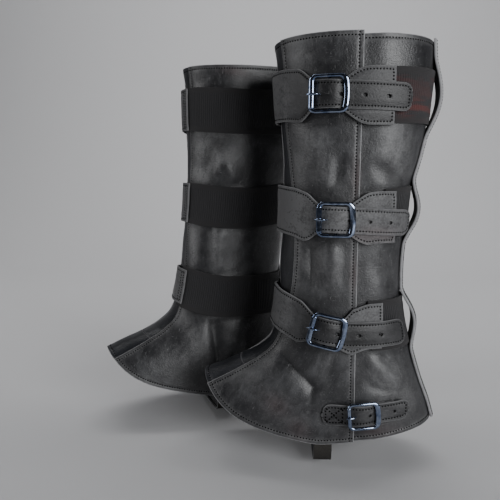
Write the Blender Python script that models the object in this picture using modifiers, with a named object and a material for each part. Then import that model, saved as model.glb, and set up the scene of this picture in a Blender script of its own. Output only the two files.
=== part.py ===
"""Pair of tall leather boot covers, in the form they have when worn: construction solids.

Metres, +Z up. The toes point towards -X and the left cover's outer side faces -Y. The origin lies on
the left cover's ankle line, where the foot in it holds it. Every cover is drawn in its own
millimetres: forward (towards the toe), outward (away from the other foot) and up from the ground.
"""

import math

import bmesh
import bpy
import numpy as np
from mathutils import Vector

MM = 0.001
ORIGIN_HEIGHT = 150.0  # of the origin above the ground, on the ankle line

# The pair: mirror is -1 on the right foot, lean tips the shaft back over the ankle, step is how much
# further forward the toe edge sits, rim how much higher the rim, and full how much the calf fills out.
COVERS = (
    {"name": "left", "mirror": 1, "forward": 0.0, "aside": 0.0, "turn": 0.0, "lean": 0.0, "step": 0.0,
     "rim": -0.5, "full": 0.0},
    {"name": "right", "mirror": -1, "forward": 132.0, "aside": 131.0, "turn": 22.8, "lean": 0.056,
     "step": 9.0, "rim": -1.5, "full": 3.0},
)

# Sections through the cover from rim to hem: how far forward its front and back lie, its half
# width, how high the section is at front, side and back, how square its corners are, and how far the
# front strip shows from the centre line to the outer and to the inner side.
SECTION_COLUMNS = ("front", "back", "half", "z_front", "z_side", "z_back", "square", "strip", "inner")
SECTIONS = (
    (86.0, -65.0, 55.0, 420.5, 421.0, 422.5, 2.15, 25.0, 15.0),
    (82.0, -66.0, 55.0, 395.5, 396.0, 397.0, 2.15, 24.0, 13.5),
    (80.0, -63.5, 54.0, 369.0, 368.0, 369.0, 2.2, 22.0, 12.0),
    (78.0, -61.0, 52.5, 341.0, 340.0, 341.0, 2.2, 21.5, 10.5),
    (75.5, -54.5, 50.5, 310.0, 309.0, 309.0, 2.2, 23.0, 9.5),
    (75.2, -47.5, 48.5, 283.0, 282.0, 282.0, 2.2, 26.5, 9.0),
    (75.0, -45.0, 47.5, 257.0, 256.0, 257.0, 2.2, 29.5, 9.0),
    (76.5, -42.5, 47.0, 231.0, 230.0, 231.0, 2.2, 31.0, 9.0),
    (78.5, -41.0, 46.5, 204.0, 203.0, 204.0, 2.2, 31.5, 10.0),
    (78.5, -41.5, 47.0, 179.0, 177.0, 177.0, 2.25, 30.0, 12.0),
    (81.0, -45.5, 48.0, 152.0, 149.0, 148.0, 2.3, 26.0, 15.0),
    (89.0, -52.0, 49.0, 124.0, 122.0, 122.0, 2.35, 23.0, 18.0),
    (104.0, -57.5, 50.0, 110.5, 99.0, 103.0, 2.4, 22.0, 20.0),
    (120.0, -64.0, 51.0, 103.0, 76.0, 83.0, 2.5, 22.0, 21.5),
    (138.0, -71.0, 51.5, 95.0, 54.0, 65.0, 2.55, 22.0, 22.0),
    (159.0, -77.0, 52.0, 86.5, 29.5, 45.5, 2.6, 22.0, 22.0),
)
STRAIGHT = {"lean": 0.0, "step": 0.0, "rim": 0.0, "full": 0.0}  # the form that the sections give
# A section climbs towards its front by this mix of powers of the cosine, and by one to its back.
FRONT_RISE = ((0.55, 1.0), (0.45, 5.0))
BACK_RISE = 1.1
LEAN_FROM = (90.0, 210.0)  # heights between which the lean sets in
STEP_FROM = (80.0, 160.0)  # how far forward the step sets in
RIM_RUN = 1.6  # sections over which the rim's height sets in
RIM_TILT = 2.0  # how much higher the rim is at the outer side, and lower at the inner one
CALF = (205.0, 48.0)  # height and half height of the stretch that fills out to the back

LEATHER = 2.2  # thickness of the panels
STRAP_LEATHER = 2.0
FOLDED_LEATHER = 1.8
WEBBING = 1.5  # the elastic band
GAP = 0.6  # between two layers, which leaves 0.3 where their facets meet
LAP = 9.0  # width of a lapped seam
SEAM = 0.3  # between edges that butt
UNDER = -(LEATHER + GAP)  # rise of a panel edge that is tucked under another panel
OVER = LEATHER + GAP + 0.1  # rise of what lies on a panel

STRIP_CROWN = 1.4  # how far the strip rises again between its tucked edges
CROSS_SEAM = 13.0  # section at which the front strip is joined to the toe strip
CROSS_GAP = 0.012  # half the gap between them, in sections
CLOSURE = 6.0  # how far forward the outer panel's closure edge lies
REAR_DROP = 0.10  # the rear panel's rim, in sections below the front panel's
LEVEL_OUT = 24.0  # run over which a tucked edge comes up level
BACK_STRIP = 12.0  # half width
BACK_ASIDE = 6.0  # its middle lies this far towards the outer side
BACK_LEATHER = 2.6

# The belts from top to bottom. Heights of the middle of the band at front, side and back and of the
# strap behind the buckle, width of band, front tab and flare, how far the tab reaches round to the
# inner side, how far forward bar, flare and tip lie, how far the back strip's loop stands out and half
# its height, the strap's slope at the buckle, and how much it droops towards its tip.
BELT_COLUMNS = ("name", "z_front", "z_side", "z_back", "z_strap", "band", "tab", "wide", "wrap", "bar",
                "flare", "tip", "loop", "loop_half", "slope", "droop")
BELTS = (
    ("upper", 370.0, 365.5, 368.0, 367.0, 50.0, 48.5, 51.5, 14.0, 34.4, -21.2, -34.5, 8.6, 40.0, 0.0,
     0.04),
    ("middle", 260.5, 255.0, 260.0, 253.2, 48.5, 47.0, 49.5, 15.0, 27.0, -26.0, -38.0, 10.0, 35.5, 0.0,
     0.06),
    ("lower", 160.5, 149.5, 149.0, 141.8, 49.0, 41.0, 44.0, 22.0, 32.9, -17.0, -36.0, 10.0, 34.0, 0.22,
     0.0),
)
LOOP_POWER = 2.0
ELASTIC_LAP = 10.0  # how far under the front tab the elastic starts
ELASTIC_TUCK = 11.0  # how much of its other end lies under the flare
FRONT_TURN = 30.0  # turn near which the belts cross from the outer side to the front
TAB_CLIMB = (18.5, 14.0)  # turn before the elastic at which the tab climbs onto it, and over how much
STRAP_WIDTH = 25.0
TIP_ROUND = 8.0  # run over which a strap's end narrows
TIP_NARROW = 0.5  # share of its width that it loses
TIP_POWER = 2.5

# The strap's underside along its run: from the buckle's bar, and how high it lies there.
STRAP_PROFILE = ((-95.0, 7.4), (-19.0, 7.5), (-13.0, 8.0), (-9.0, 9.1), (-5.0, 10.8), (0.0, 11.4),
                 (5.0, 11.0), (9.0, 9.4), (13.0, 7.6), (19.0, 5.4), (28.0, 3.3), (35.0, 2.9),
                 (60.0, 2.9))
STRAP_TAPER = (10.0, 27.0)  # in front of the bar, the strap widens to its tab between these
LINE_TAPER = (18.0, 38.0)  # and moves to the band's line between these
SLOPE_FROM = 24.0  # behind the bar, a sloping strap levels out from here
SLOPE_RUN = 16.0
TAB_OVER_ELASTIC = 5.1

# The buckle tab's inner face, from its short hidden end round the bar to the flare, with its width.
FOLD_PROFILE = (
    (-22.0, 4.8, 22.6), (-13.0, 4.8, 22.6), (-5.0, 4.8, 22.6), (0.0, 4.8, 22.6), (1.4, 5.3, 22.6),
    (2.0, 6.8, 22.6), (1.4, 8.3, 22.6), (0.0, 8.8, 22.6), (-4.0, 8.1, 23.0), (-9.0, 6.3, 25.0),
    (-13.0, 5.3, 30.0), (-20.0, 5.2, 41.0), (-27.0, 5.2, 49.0), (-34.0, 5.2, 52.0), (-48.0, 5.2, 52.0),
    (-62.0, 5.2, 52.0),
)
FLARE_SHIFT = (12.0, 40.0)  # behind the bar, the tab moves from the strap's line to the band's
TILT_FADES = (5.0, 24.0)  # and from the buckle's tilt to the upright

# The buckle: half length, half height and the bars' widths.
BUCKLE = {"length": 14.9, "height": 16.9, "front": 3.8, "rear": 4.6, "rail": 3.1, "bow": 1.7}
HEM_BUCKLE = {"length": 14.5, "height": 13.4, "front": 3.4, "rear": 4.4, "rail": 2.8, "bow": 1.4}
OUTER_CORNER = 4.0  # radius of the frame's corners
WINDOW_CORNER = 1.6
BAR = 1.5  # half thickness of the centre bar
FRAME_HALF = 0.8  # half thickness of the frame's flat core
FRAME_BEVEL = 0.7
BAR_RISE = 6.8
END_RISE = 12.9  # the frame round it stands higher, so that the strap runs under its end bars
PRONG = 1.1  # radius
PRONG_PROFILE = ((6.8, 14.1), (9.5, 15.5), (12.9, 16.0), (15.8, 15.5))

# The hem belt: its front end and tip, the bar, the line's height there and slope, and its width, which
# narrows towards the tip.
HEM_BELT = {"front": 37.0, "tip": -44.0, "bar": -0.5, "z_bar": 63.4, "slope": -0.07, "width": 21.4,
            "narrow": 0.042}
HEM_FOLD = 18.4  # width of its buckle tab
HEM_FOLD_END = -30.0
HEM_SEAT = 0.35  # how much lower its front end lies than the wide belts' tabs

STIRRUP_FORWARD = 36.0
STIRRUP_WIDTH = 18.0
STIRRUP_TOP = 47.0  # sewn inside the panels from here
STIRRUP_LEAVES = 30.0
STIRRUP_BOTTOM = 6.0
STIRRUP_SQUARE = 5.0
STIRRUP_GAP = 0.9  # inside the panels, whose facets are flat

# Folds worn into the panels: side (1 outer, -1 inner), where the middle lies, the fold's slope in
# degrees from the vertical, its half length and half width, and its depth (inward is negative).
FOLD_COLUMNS = ("side", "forward", "up", "slope", "long", "wide", "depth")
FOLDS = (
    (1, 58.0, 108.0, 42.0, 30.0, 7.0, -4.5),
    (1, 43.0, 68.0, 5.0, 26.0, 7.0, -3.5),
    (1, 28.0, 104.0, -25.0, 20.0, 7.0, -2.0),
    (1, -22.0, 102.0, 50.0, 24.0, 7.0, 2.5),
    (1, -20.0, 84.0, 60.0, 22.0, 8.0, -2.5),
    (1, 49.0, 214.0, 0.0, 26.0, 6.0, -3.0),
    (1, 29.0, 208.0, -3.0, 26.0, 8.0, 2.5),
    (1, 45.0, 312.0, 20.0, 26.0, 9.0, 2.0),
    (1, 18.0, 304.0, -30.0, 26.0, 9.0, -2.5),
    (1, -30.0, 290.0, 58.0, 26.0, 8.0, -2.5),
    (1, -30.0, 194.0, 40.0, 26.0, 8.0, -2.0),
    (-1, 62.0, 318.0, -28.0, 26.0, 10.0, -4.0),
    (-1, 44.0, 306.0, 30.0, 22.0, 8.0, 3.0),
    (-1, 70.0, 210.0, 4.0, 30.0, 6.0, 2.5),
    (-1, 48.0, 208.0, 2.0, 30.0, 7.0, 2.5),
    (-1, 46.0, 96.0, 4.0, 30.0, 7.0, -3.5),
    (-1, 22.0, 94.0, -6.0, 28.0, 8.0, 2.0),
)
FOLD_CLEAR = 9.0  # beside a belt, the folds fade over this run
FOLD_FRONT = (26.0, 42.0)  # out from the centre line they set in between these
FOLD_CLOSURE = (7.0, 20.0)  # from the closure's lap they set in between these
HEM_BELT_CLEAR = (-52.0, 42.0, 42.0, 78.0)  # forward from and to, height from and to


def rows(columns, table):
    """The table as one array for each named column."""
    return {name: np.array([row[i] for row in table]) for i, name in enumerate(columns)}


def ease(x):
    """Smooth step from 0 at x = 0 to 1 at x = 1."""
    x = np.clip(x, 0.0, 1.0)
    return x * x * (3.0 - 2.0 * x)


SECTION = rows(SECTION_COLUMNS, SECTIONS)
HEM = len(SECTIONS) - 1.0  # the last section's place; places run from 0 at the rim
FOLD = rows(FOLD_COLUMNS, FOLDS)
PANEL_ROWS = np.linspace(0.0, HEM, 2 * len(SECTIONS) - 1)  # every panel has its points at these


def ramp_up(x):
    """Smooth bend from level to rising one for one, over the slope's run."""
    share = np.clip(x / SLOPE_RUN, 0.0, 1.0)
    return SLOPE_RUN * share ** 3 * (1 - share / 2) + np.clip(x - SLOPE_RUN, 0.0, None)


def section_value(name, place):
    """A section's column at a place between the rows, by a smooth curve through them."""
    values = SECTION[name]
    slopes = np.gradient(values)
    i = np.clip(np.floor(place).astype(int), 0, len(values) - 2)
    x = place - i
    return (values[i] * (1 + 2 * x) * (1 - x) ** 2 + slopes[i] * x * (1 - x) ** 2
            + values[i + 1] * x * x * (3 - 2 * x) + slopes[i + 1] * x * x * (x - 1))


def power(x, exponent):
    return np.sign(x) * np.abs(x) ** exponent


def smooth_form(turn, place, pose):
    """Point of the cover's smooth form; turn is in degrees from the toe over the outer side."""
    cosine = np.cos(np.radians(turn))
    sine = np.sin(np.radians(turn))
    front = section_value("front", place)
    back = section_value("back", place)
    exponent = 2.0 / section_value("square", place)
    side = section_value("z_side", place)
    ahead = sum(share * np.clip(cosine, 0, 1) ** rise for share, rise in FRONT_RISE)
    up = (side + (section_value("z_front", place) - side) * ahead
          + (section_value("z_back", place) - side) * np.clip(-cosine, 0, 1) ** BACK_RISE)
    up = up + ease(1 - place / RIM_RUN) * (pose["rim"] + RIM_TILT * sine)
    forward = (front + back) / 2 + (front - back) / 2 * power(cosine, exponent)
    tipped = ease((up - LEAN_FROM[0]) / (LEAN_FROM[1] - LEAN_FROM[0])) * (up - LEAN_FROM[0])
    ahead = ease((forward - STEP_FROM[0]) / (STEP_FROM[1] - STEP_FROM[0]))
    filled = np.clip(-cosine, 0, 1) * np.exp(-((up - CALF[0]) / CALF[1]) ** 2)
    forward = forward - pose["lean"] * tipped + pose["step"] * ahead - pose["full"] * filled
    outward = section_value("half", place) * power(sine, exponent)
    return np.stack([forward, outward, up], axis=-1)


def normal(turn, place, pose):
    """Outward direction of the smooth form."""
    step = 0.01
    low = np.clip(place - step, 0.0, HEM)
    high = np.clip(place + step, 0.0, HEM)
    round_it = smooth_form(turn + 1.0, place, pose) - smooth_form(turn - 1.0, place, pose)
    down_it = smooth_form(turn, high, pose) - smooth_form(turn, low, pose)
    out = np.cross(down_it, round_it)
    return out / np.linalg.norm(out, axis=-1, keepdims=True)


def turn_out(outward, place):
    """Turn at which the form's front half lies that far outward."""
    sine = np.clip(outward / section_value("half", place), -1, 1)
    return np.degrees(np.arcsin(power(sine, section_value("square", place) / 2.0)))


def turn_forward(forward, place):
    """Turn at which the form's outer half lies that far forward, the lean left out."""
    front = section_value("front", place)
    back = section_value("back", place)
    cosine = np.clip((forward - (front + back) / 2) / ((front - back) / 2), -1, 1)
    return np.degrees(np.arccos(power(cosine, section_value("square", place) / 2.0)))


def place_at(turn, up, pose):
    """Place on the form at this turn with this height."""
    low = np.zeros(np.broadcast(turn, up).shape)
    high = low + HEM
    for _ in range(30):
        middle = (low + high) / 2
        above = smooth_form(turn, middle, pose)[..., 2] > up
        low = np.where(above, middle, low)
        high = np.where(above, high, middle)
    return (low + high) / 2


def side_turn(forward, up, pose):
    """Turn and place on the outer side that lie this far forward and this high."""
    turn = np.full(np.broadcast(forward, up).shape, 90.0)
    for _ in range(6):
        place = place_at(turn, up, pose)
        turn = turn_forward(forward, place)
    return turn, place_at(turn, up, pose)


def belt_line(belt, turn):
    """Height of the middle of the belt's band at this turn."""
    cosine = np.cos(np.radians(turn))
    return (belt["z_side"] + (belt["z_front"] - belt["z_side"]) * np.clip(cosine, 0, 1) ** 2
            + (belt["z_back"] - belt["z_side"]) * np.clip(-cosine, 0, 1))


def strap_line(belt, forward):
    """Height of the strap's middle this far forward."""
    ahead = forward - belt["bar"]
    return (belt["z_strap"] + belt["slope"] * ramp_up(ahead + SLOPE_FROM)
            - belt["droop"] * np.clip(-ahead, 0.0, None))


def folds(turn, place):
    """How far the worn-in folds lift the panels, in mm; nothing under belts and back strip."""
    forward, outward, up = np.moveaxis(smooth_form(turn, place, STRAIGHT), -1, 0)
    lift = np.zeros(forward.shape)
    for i in range(len(FOLDS)):
        slope = math.radians(FOLD["slope"][i])
        ahead = forward - FOLD["forward"][i]
        above = up - FOLD["up"][i]
        along = above * math.cos(slope) + ahead * math.sin(slope)
        across = ahead * math.cos(slope) - above * math.sin(slope)
        shape = np.exp(-(along / FOLD["long"][i]) ** 4 - (across / FOLD["wide"][i]) ** 2)
        lift = lift + FOLD["depth"][i] * shape * (outward * FOLD["side"][i] > 0)
    for belt in belts():
        beside = np.abs(up - belt_line(belt, turn)) - belt["band"] / 2
        lift = lift * ease(beside / FOLD_CLEAR)
    rear, ahead, low, high = HEM_BELT_CLEAR
    beside = np.maximum(np.maximum(rear - forward, forward - ahead), np.maximum(low - up, up - high))
    on_outer_side = ease(outward / FOLD_CLEAR)
    lift = lift * (1 - on_outer_side * (1 - ease(beside / FOLD_CLEAR)))
    lift = lift * ease((np.abs(outward) - FOLD_FRONT[0]) / (FOLD_FRONT[1] - FOLD_FRONT[0]))
    off = np.abs(forward - CLOSURE - LAP / 2)
    beside = ease((off - FOLD_CLOSURE[0]) / (FOLD_CLOSURE[1] - FOLD_CLOSURE[0]))
    return lift * (1 - on_outer_side * (1 - beside))


def belts():
    return [dict(zip(BELT_COLUMNS, row)) for row in BELTS]


def grid(across, along):
    """Steps across and along a sheet from 0 to 1, as two arrays."""
    return np.meshgrid(np.linspace(0, 1, across + 1), np.linspace(0, 1, along + 1))


def panel_points(turn, place, rise, pose):
    """Points of a panel that lies this high on the form and shares its folds."""
    lift = (rise + folds(turn, place))[..., None]
    return smooth_form(turn, place, pose) + lift * normal(turn, place, pose)


def laid_points(turn, up, rise, pose):
    """Points of something laid smoothly over the form, by turn and height."""
    place = place_at(turn, up, pose)
    return smooth_form(turn, place, pose) + rise[..., None] * normal(turn, place, pose)


def side_points(forward, up, rise, pose):
    """Points laid over the outer side, by how far forward and how high they are."""
    turn, place = side_turn(forward, up, pose)
    return smooth_form(turn, place, pose) + rise[..., None] * normal(turn, place, pose)


def to_local(points, mirror):
    """From a cover's own millimetres to metres round the ankle line."""
    points = np.asarray(points, dtype=float)
    return np.stack([-points[..., 0], -mirror * points[..., 1], points[..., 2] - ORIGIN_HEIGHT],
                    axis=-1) * MM


def material(name, colour, roughness, metallic=0.0):
    """A Principled material, made once."""
    found = bpy.data.materials.get(name)
    if found:
        return found
    made = bpy.data.materials.new(name)
    made.use_nodes = True
    shader = made.node_tree.nodes["Principled BSDF"]
    shader.inputs["Base Color"].default_value = (*colour, 1.0)
    shader.inputs["Roughness"].default_value = roughness
    shader.inputs["Metallic"].default_value = metallic
    made.diffuse_color = (*colour, 1.0)
    return made


MATERIALS = {
    "front_strip": ((0.020, 0.021, 0.026), 0.40, 0.0),
    "toe_strip": ((0.024, 0.025, 0.030), 0.40, 0.0),
    "outer_front": ((0.050, 0.050, 0.048), 0.48, 0.0),
    "outer_rear": ((0.046, 0.046, 0.047), 0.48, 0.0),
    "inner_panel": ((0.042, 0.042, 0.044), 0.50, 0.0),
    "back_strip": ((0.040, 0.040, 0.042), 0.46, 0.0),
    "strap": ((0.055, 0.054, 0.053), 0.45, 0.0),
    "buckle_tab": ((0.058, 0.057, 0.056), 0.45, 0.0),
    "elastic": ((0.030, 0.030, 0.032), 0.85, 0.0),
    "buckle": ((0.62, 0.64, 0.68), 0.18, 1.0),
    "prong": ((0.66, 0.67, 0.70), 0.20, 1.0),
    "stirrup": ((0.038, 0.037, 0.036), 0.50, 0.0),
}


def finish(shape, name, kind, cover):
    """Name the object, give it its material and hang it on its cover's empty."""
    shape.name = f"{cover['name']}_{name}"
    shape.data.name = shape.name
    shape.data.materials.clear()
    shape.data.materials.append(material(kind, *MATERIALS[kind]))
    shape.parent = cover["empty"]
    return shape


def sheet(name, kind, cover, points, facing, thickness):
    """A sheet through a grid of points (along, across), thickened towards facing."""
    along, across = points.shape[0] - 1, points.shape[1] - 1
    work = bmesh.new()
    bmesh.ops.create_grid(work, x_segments=across, y_segments=along, size=1.0)
    local = to_local(points, cover["mirror"])
    corner = min(work.verts, key=lambda vertex: vertex.co.x + vertex.co.y)
    for vertex in work.verts:
        column = round((vertex.co.x + 1) / 2 * across)
        row = round((vertex.co.y + 1) / 2 * along)
        vertex.co = local[row, column]
    work.normal_update()
    out = Vector(to_local(facing + np.array([0, 0, ORIGIN_HEIGHT]), cover["mirror"]))
    if corner.link_faces[0].normal.dot(out) < 0:
        bmesh.ops.reverse_faces(work, faces=work.faces)
    mesh = bpy.data.meshes.new(name)
    work.to_mesh(mesh)
    work.free()
    shape = bpy.data.objects.new(name, mesh)
    PARTS.objects.link(shape)
    wall = shape.modifiers.new("wall", "SOLIDIFY")
    wall.thickness = thickness * MM
    wall.offset = 1.0
    wall.use_even_offset = True
    return finish(shape, name, kind, cover)


def panel(name, cover, turn, place, rise, thickness=LEATHER):
    points = panel_points(turn, place, rise, cover)
    return sheet(name, name, cover, points, normal(turn, place, cover)[0, 0], thickness)


def between(edges, cells):
    """Columns of turns from edge to edge of a panel, with this many cells in each stretch."""
    columns = [edges[0]]
    for start, end, count in zip(edges, edges[1:], cells):
        columns += [start + (end - start) * (i + 1) / count for i in range(count)]
    return np.stack(columns, axis=-1)


def strip_edge(place, lap=0.0):
    """Turn of the front strip's outer edge as it shows, or of its edge under the lap."""
    return turn_out(section_value("strip", place) + lap, place)


def inner_edge(place, lap=0.0):
    """The same for its inner edge."""
    return -turn_out(section_value("inner", place) + lap, place)


def closure_edge(place, lap=0.0):
    return turn_forward(CLOSURE + lap, place)


def back_seam(place):
    return 180.0 - turn_out(SEAM, place)


def front_strips(cover):
    """The strip down the shin and its second piece over the instep, tucked under both sides."""
    shin = np.append(PANEL_ROWS[PANEL_ROWS < CROSS_SEAM], CROSS_SEAM - CROSS_GAP)
    instep = np.append(CROSS_SEAM + CROSS_GAP, PANEL_ROWS[PANEL_ROWS > CROSS_SEAM])
    for name, place in (("front_strip", shin), ("toe_strip", instep)):
        inner, outer = inner_edge(place), strip_edge(place)
        turn = between((inner_edge(place, LAP), inner, outer, strip_edge(place, LAP)), (1, 4, 1))
        off = (2 * turn - (inner + outer)[:, None]) / (outer - inner)[:, None]
        crown = np.clip(1 - off ** 2, 0, 1)
        panel(name, cover, turn, place[:, None] + 0 * turn, UNDER + STRIP_CROWN * crown)


def side_panels(cover):
    """Outer front and outer rear quarter, lapped at the closure edge, and the inner side."""
    place = PANEL_ROWS
    turn = between((strip_edge(place), strip_edge(place, LAP), closure_edge(place, LAP),
                    closure_edge(place)), (1, 4, 1))
    panel("outer_front", cover, turn, place[:, None] + 0 * turn, 0 * turn)

    turn = between((inner_edge(place), inner_edge(place, LAP), -back_seam(place)), (1, 10))
    panel("inner_panel", cover, turn, place[:, None] + 0 * turn, 0 * turn)

    place = np.append(REAR_DROP, PANEL_ROWS[1:])
    turn = between((closure_edge(place, LAP), closure_edge(place), back_seam(place)), (1, 4))
    behind = CLOSURE - smooth_form(turn, place[:, None], STRAIGHT)[..., 0]
    panel("outer_rear", cover, turn, place[:, None] + 0 * turn, UNDER * (1 - ease(behind / LEVEL_OUT)))


def back_strip(cover):
    """The backstay, bowed out into a loop round each elastic band."""
    across, down = grid(2, 38)
    place = HEM * down
    near = 180.0 - turn_out(BACK_STRIP + BACK_ASIDE, place)
    far = 180.0 + turn_out(BACK_STRIP - BACK_ASIDE, place)
    turn = near + (far - near) * across
    up = smooth_form(turn, place, cover)[..., 2]
    rise = np.full(up.shape, OVER)
    for belt in belts():
        off = np.abs(up - belt["z_back"]) / belt["loop_half"]
        rise = rise + belt["loop"] * np.clip(1 - off ** 2, 0, 1) ** LOOP_POWER
    panel("back_strip", cover, turn, place, rise, BACK_LEATHER)


def front_turn(belt, outward):
    """Turn at which the belt's line crosses the front this far out."""
    place = place_at(np.array(FRONT_TURN), np.array(belt["z_front"]), STRAIGHT)
    return float(turn_out(outward, place))


def elastic(cover, belt):
    """The band from under the front tab round the inner side and the back to the buckle tab."""
    across, along = grid(2, 24)
    middle = place_at(np.array(90.0), np.array(belt["z_side"]), STRAIGHT)
    start = front_turn(belt, belt["wrap"] - ELASTIC_LAP)
    end = 360.0 - float(turn_forward(belt["flare"] + ELASTIC_TUCK, middle))
    turn = -start - (end - start) * along
    up = belt_line(belt, turn) + (across - 0.5) * belt["band"]
    points = laid_points(turn, up, np.full(up.shape, OVER), cover)
    facing = points[0, 0] * (1, 1, 0)
    return sheet(f"{belt['name']}_elastic", "elastic", cover, points, facing, WEBBING)


def rounded(before_end):
    """Share of a strap's width that is left this far before its round end."""
    return 1 - TIP_NARROW * np.clip(1 - before_end / TIP_ROUND, 0, 1) ** TIP_POWER


def strap(cover, belt):
    """The front tab that narrows to the strap through the buckle and ends in a round tip."""
    across, along = grid(1, 30)
    start = front_turn(belt, belt["wrap"])
    middle = place_at(np.array(90.0), np.array(belt["z_strap"]), STRAIGHT)
    end = float(turn_forward(belt["tip"], middle))
    turn = -start + (end + start) * along
    forward = smooth_form(turn, np.broadcast_to(middle, turn.shape), STRAIGHT)[..., 0]
    ahead = forward - belt["bar"]
    taper = ease((ahead - STRAP_TAPER[0]) / (STRAP_TAPER[1] - STRAP_TAPER[0]))
    width = STRAP_WIDTH + (belt["tab"] - STRAP_WIDTH) * taper
    width = width * rounded(forward - belt["tip"])
    moved = ease((ahead - LINE_TAPER[0]) / (LINE_TAPER[1] - LINE_TAPER[0]))
    line = strap_line(belt, forward)
    line = line + (belt_line(belt, turn) - line) * moved
    up = line + (across - 0.5) * width
    profile = np.array(STRAP_PROFILE)
    rise = np.interp(ahead, profile[:, 0], profile[:, 1])
    climb = TAB_CLIMB[0] - front_turn(belt, belt["wrap"] - ELASTIC_LAP)
    over_elastic = ease((climb - turn) / TAB_CLIMB[1])
    rise = rise + (TAB_OVER_ELASTIC - rise) * over_elastic * (ahead > 0)
    points = laid_points(turn, up, rise, cover)
    return sheet(f"{belt['name']}_strap", "strap", cover, points, points[0, 0] * (1, 1, 0),
                 STRAP_LEATHER)


def buckle_tab(cover, name, bar, line, slope, widest, reach, shift):
    """Leather folded round the buckle's centre bar: hidden short end, loop and long upper leaf."""
    profile = np.array([row for row in FOLD_PROFILE if row[0] > reach])
    profile = np.vstack([profile, (reach, *FOLD_PROFILE[-1][1:])])
    ahead, rise, width = (column[:, None] for column in profile.T)
    width = np.minimum(width, widest)
    above = (np.linspace(0, 1, 3)[None, :] - 0.5) * width
    tilt = math.atan(slope) * (1 - ease((-ahead - TILT_FADES[0]) / (TILT_FADES[1] - TILT_FADES[0])))
    forward = bar + ahead - above * np.sin(tilt)
    up = line(bar + ahead) + shift(ahead) + above * np.cos(tilt)
    points = side_points(forward, up, rise + 0 * above, cover)
    down = -side_normal(forward[:1, :1], up[:1, :1], cover)[0, 0]
    return sheet(f"{name}_buckle_tab", "buckle_tab", cover, points, down, FOLDED_LEATHER)


def side_normal(forward, up, pose):
    turn, place = side_turn(forward, up, pose)
    return normal(turn, place, pose)


def outline(half_long, half_high, corner, bow, steps=3):
    """A rectangle with round corners whose rear end (towards -x) bows out."""
    points = []
    for quarter, (sx, sy) in enumerate(((1, 1), (-1, 1), (-1, -1), (1, -1))):
        for i in range(steps):
            angle = math.radians(90.0 * (quarter + i / (steps - 1)))
            x = sx * (half_long - corner) + corner * math.cos(angle)
            y = sy * (half_high - corner) + corner * math.sin(angle)
            points.append((x, y))
    rear = []
    for share in (0.5, 0.0, -0.5):
        rear.append((-half_long - bow * (1 - share ** 2), share * half_high))
    return points[:2 * steps] + rear + points[2 * steps:]


def buckle(cover, name, size, bar, line, slope):
    """The frame with its centre bar: a flat outline with two windows, its bar let down."""
    long, high, rail = size["length"], size["height"], size["rail"]
    core = FRAME_BEVEL  # the bevel makes the flat core this much wider all round
    curve = bpy.data.curves.new(name, "CURVE")
    curve.dimensions = "2D"
    curve.fill_mode = "BOTH"
    curve.extrude = FRAME_HALF * MM
    curve.bevel_depth = FRAME_BEVEL * MM
    curve.bevel_resolution = 0
    windows = ((BAR, long - size["front"], 0.0), (size["rear"] - long, -BAR, size["bow"]))
    loops = [outline(long - core, high - core, OUTER_CORNER, size["bow"])]
    for low, high_end, bow in windows:
        half = (high_end - low) / 2 + core
        window = outline(half, high - rail + core, WINDOW_CORNER, bow, steps=2)
        loops.append([(x + (high_end + low) / 2, y) for x, y in window])
    for loop in loops:
        spline = curve.splines.new("POLY")
        spline.points.add(len(loop) - 1)
        spline.use_cyclic_u = True
        for point, (x, y) in zip(spline.points, loop):
            point.co = (x * MM, y * MM, 0.0, 1.0)
    flat = bpy.data.objects.new(name, curve)
    PARTS.objects.link(flat)
    bpy.context.view_layer.update()
    mesh = bpy.data.meshes.new_from_object(flat.evaluated_get(bpy.context.evaluated_depsgraph_get()))
    bpy.data.objects.remove(flat)
    work = bmesh.new()
    work.from_mesh(mesh)
    bmesh.ops.remove_doubles(work, verts=work.verts, dist=1e-6)
    ahead = np.array([vertex.co.x for vertex in work.verts]) / MM
    above = np.array([vertex.co.y for vertex in work.verts]) / MM
    thick = np.array([vertex.co.z for vertex in work.verts]) / MM
    on_bar = (np.abs(ahead) < BAR + 0.1) & (np.abs(above) < high - rail)
    rise = thick + np.where(on_bar, BAR_RISE, END_RISE)
    tilt = math.atan(slope)
    forward = bar + ahead * math.cos(tilt) - above * math.sin(tilt)
    up = line(np.array(bar)) + ahead * math.sin(tilt) + above * math.cos(tilt)
    points = side_points(forward, up, rise, cover)
    local = to_local(points, cover["mirror"])
    for vertex, point in zip(work.verts, local):
        vertex.co = point
    bmesh.ops.recalc_face_normals(work, faces=work.faces)
    if work.calc_volume(signed=True) < 0:
        bmesh.ops.reverse_faces(work, faces=work.faces)
    work.to_mesh(mesh)
    work.free()
    shape = bpy.data.objects.new(name, mesh)
    PARTS.objects.link(shape)
    return finish(shape, f"{name}_buckle", "buckle", cover)


def prong(cover, name, bar, line):
    """The prong from the strap's hole to the front bar that it rests on."""
    profile = np.array(PRONG_PROFILE)
    forward = bar + profile[:, 0]
    points = side_points(forward, line(forward), profile[:, 1], cover)
    curve = bpy.data.curves.new(name, "CURVE")
    curve.dimensions = "3D"
    curve.bevel_depth = PRONG * MM
    curve.bevel_resolution = 1
    curve.use_fill_caps = True
    spline = curve.splines.new("POLY")
    spline.points.add(len(points) - 1)
    for point, co in zip(spline.points, to_local(points, cover["mirror"])):
        point.co = (*co, 1.0)
    shape = bpy.data.objects.new(name, curve)
    PARTS.objects.link(shape)
    return finish(shape, f"{name}_prong", "prong", cover)


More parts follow.
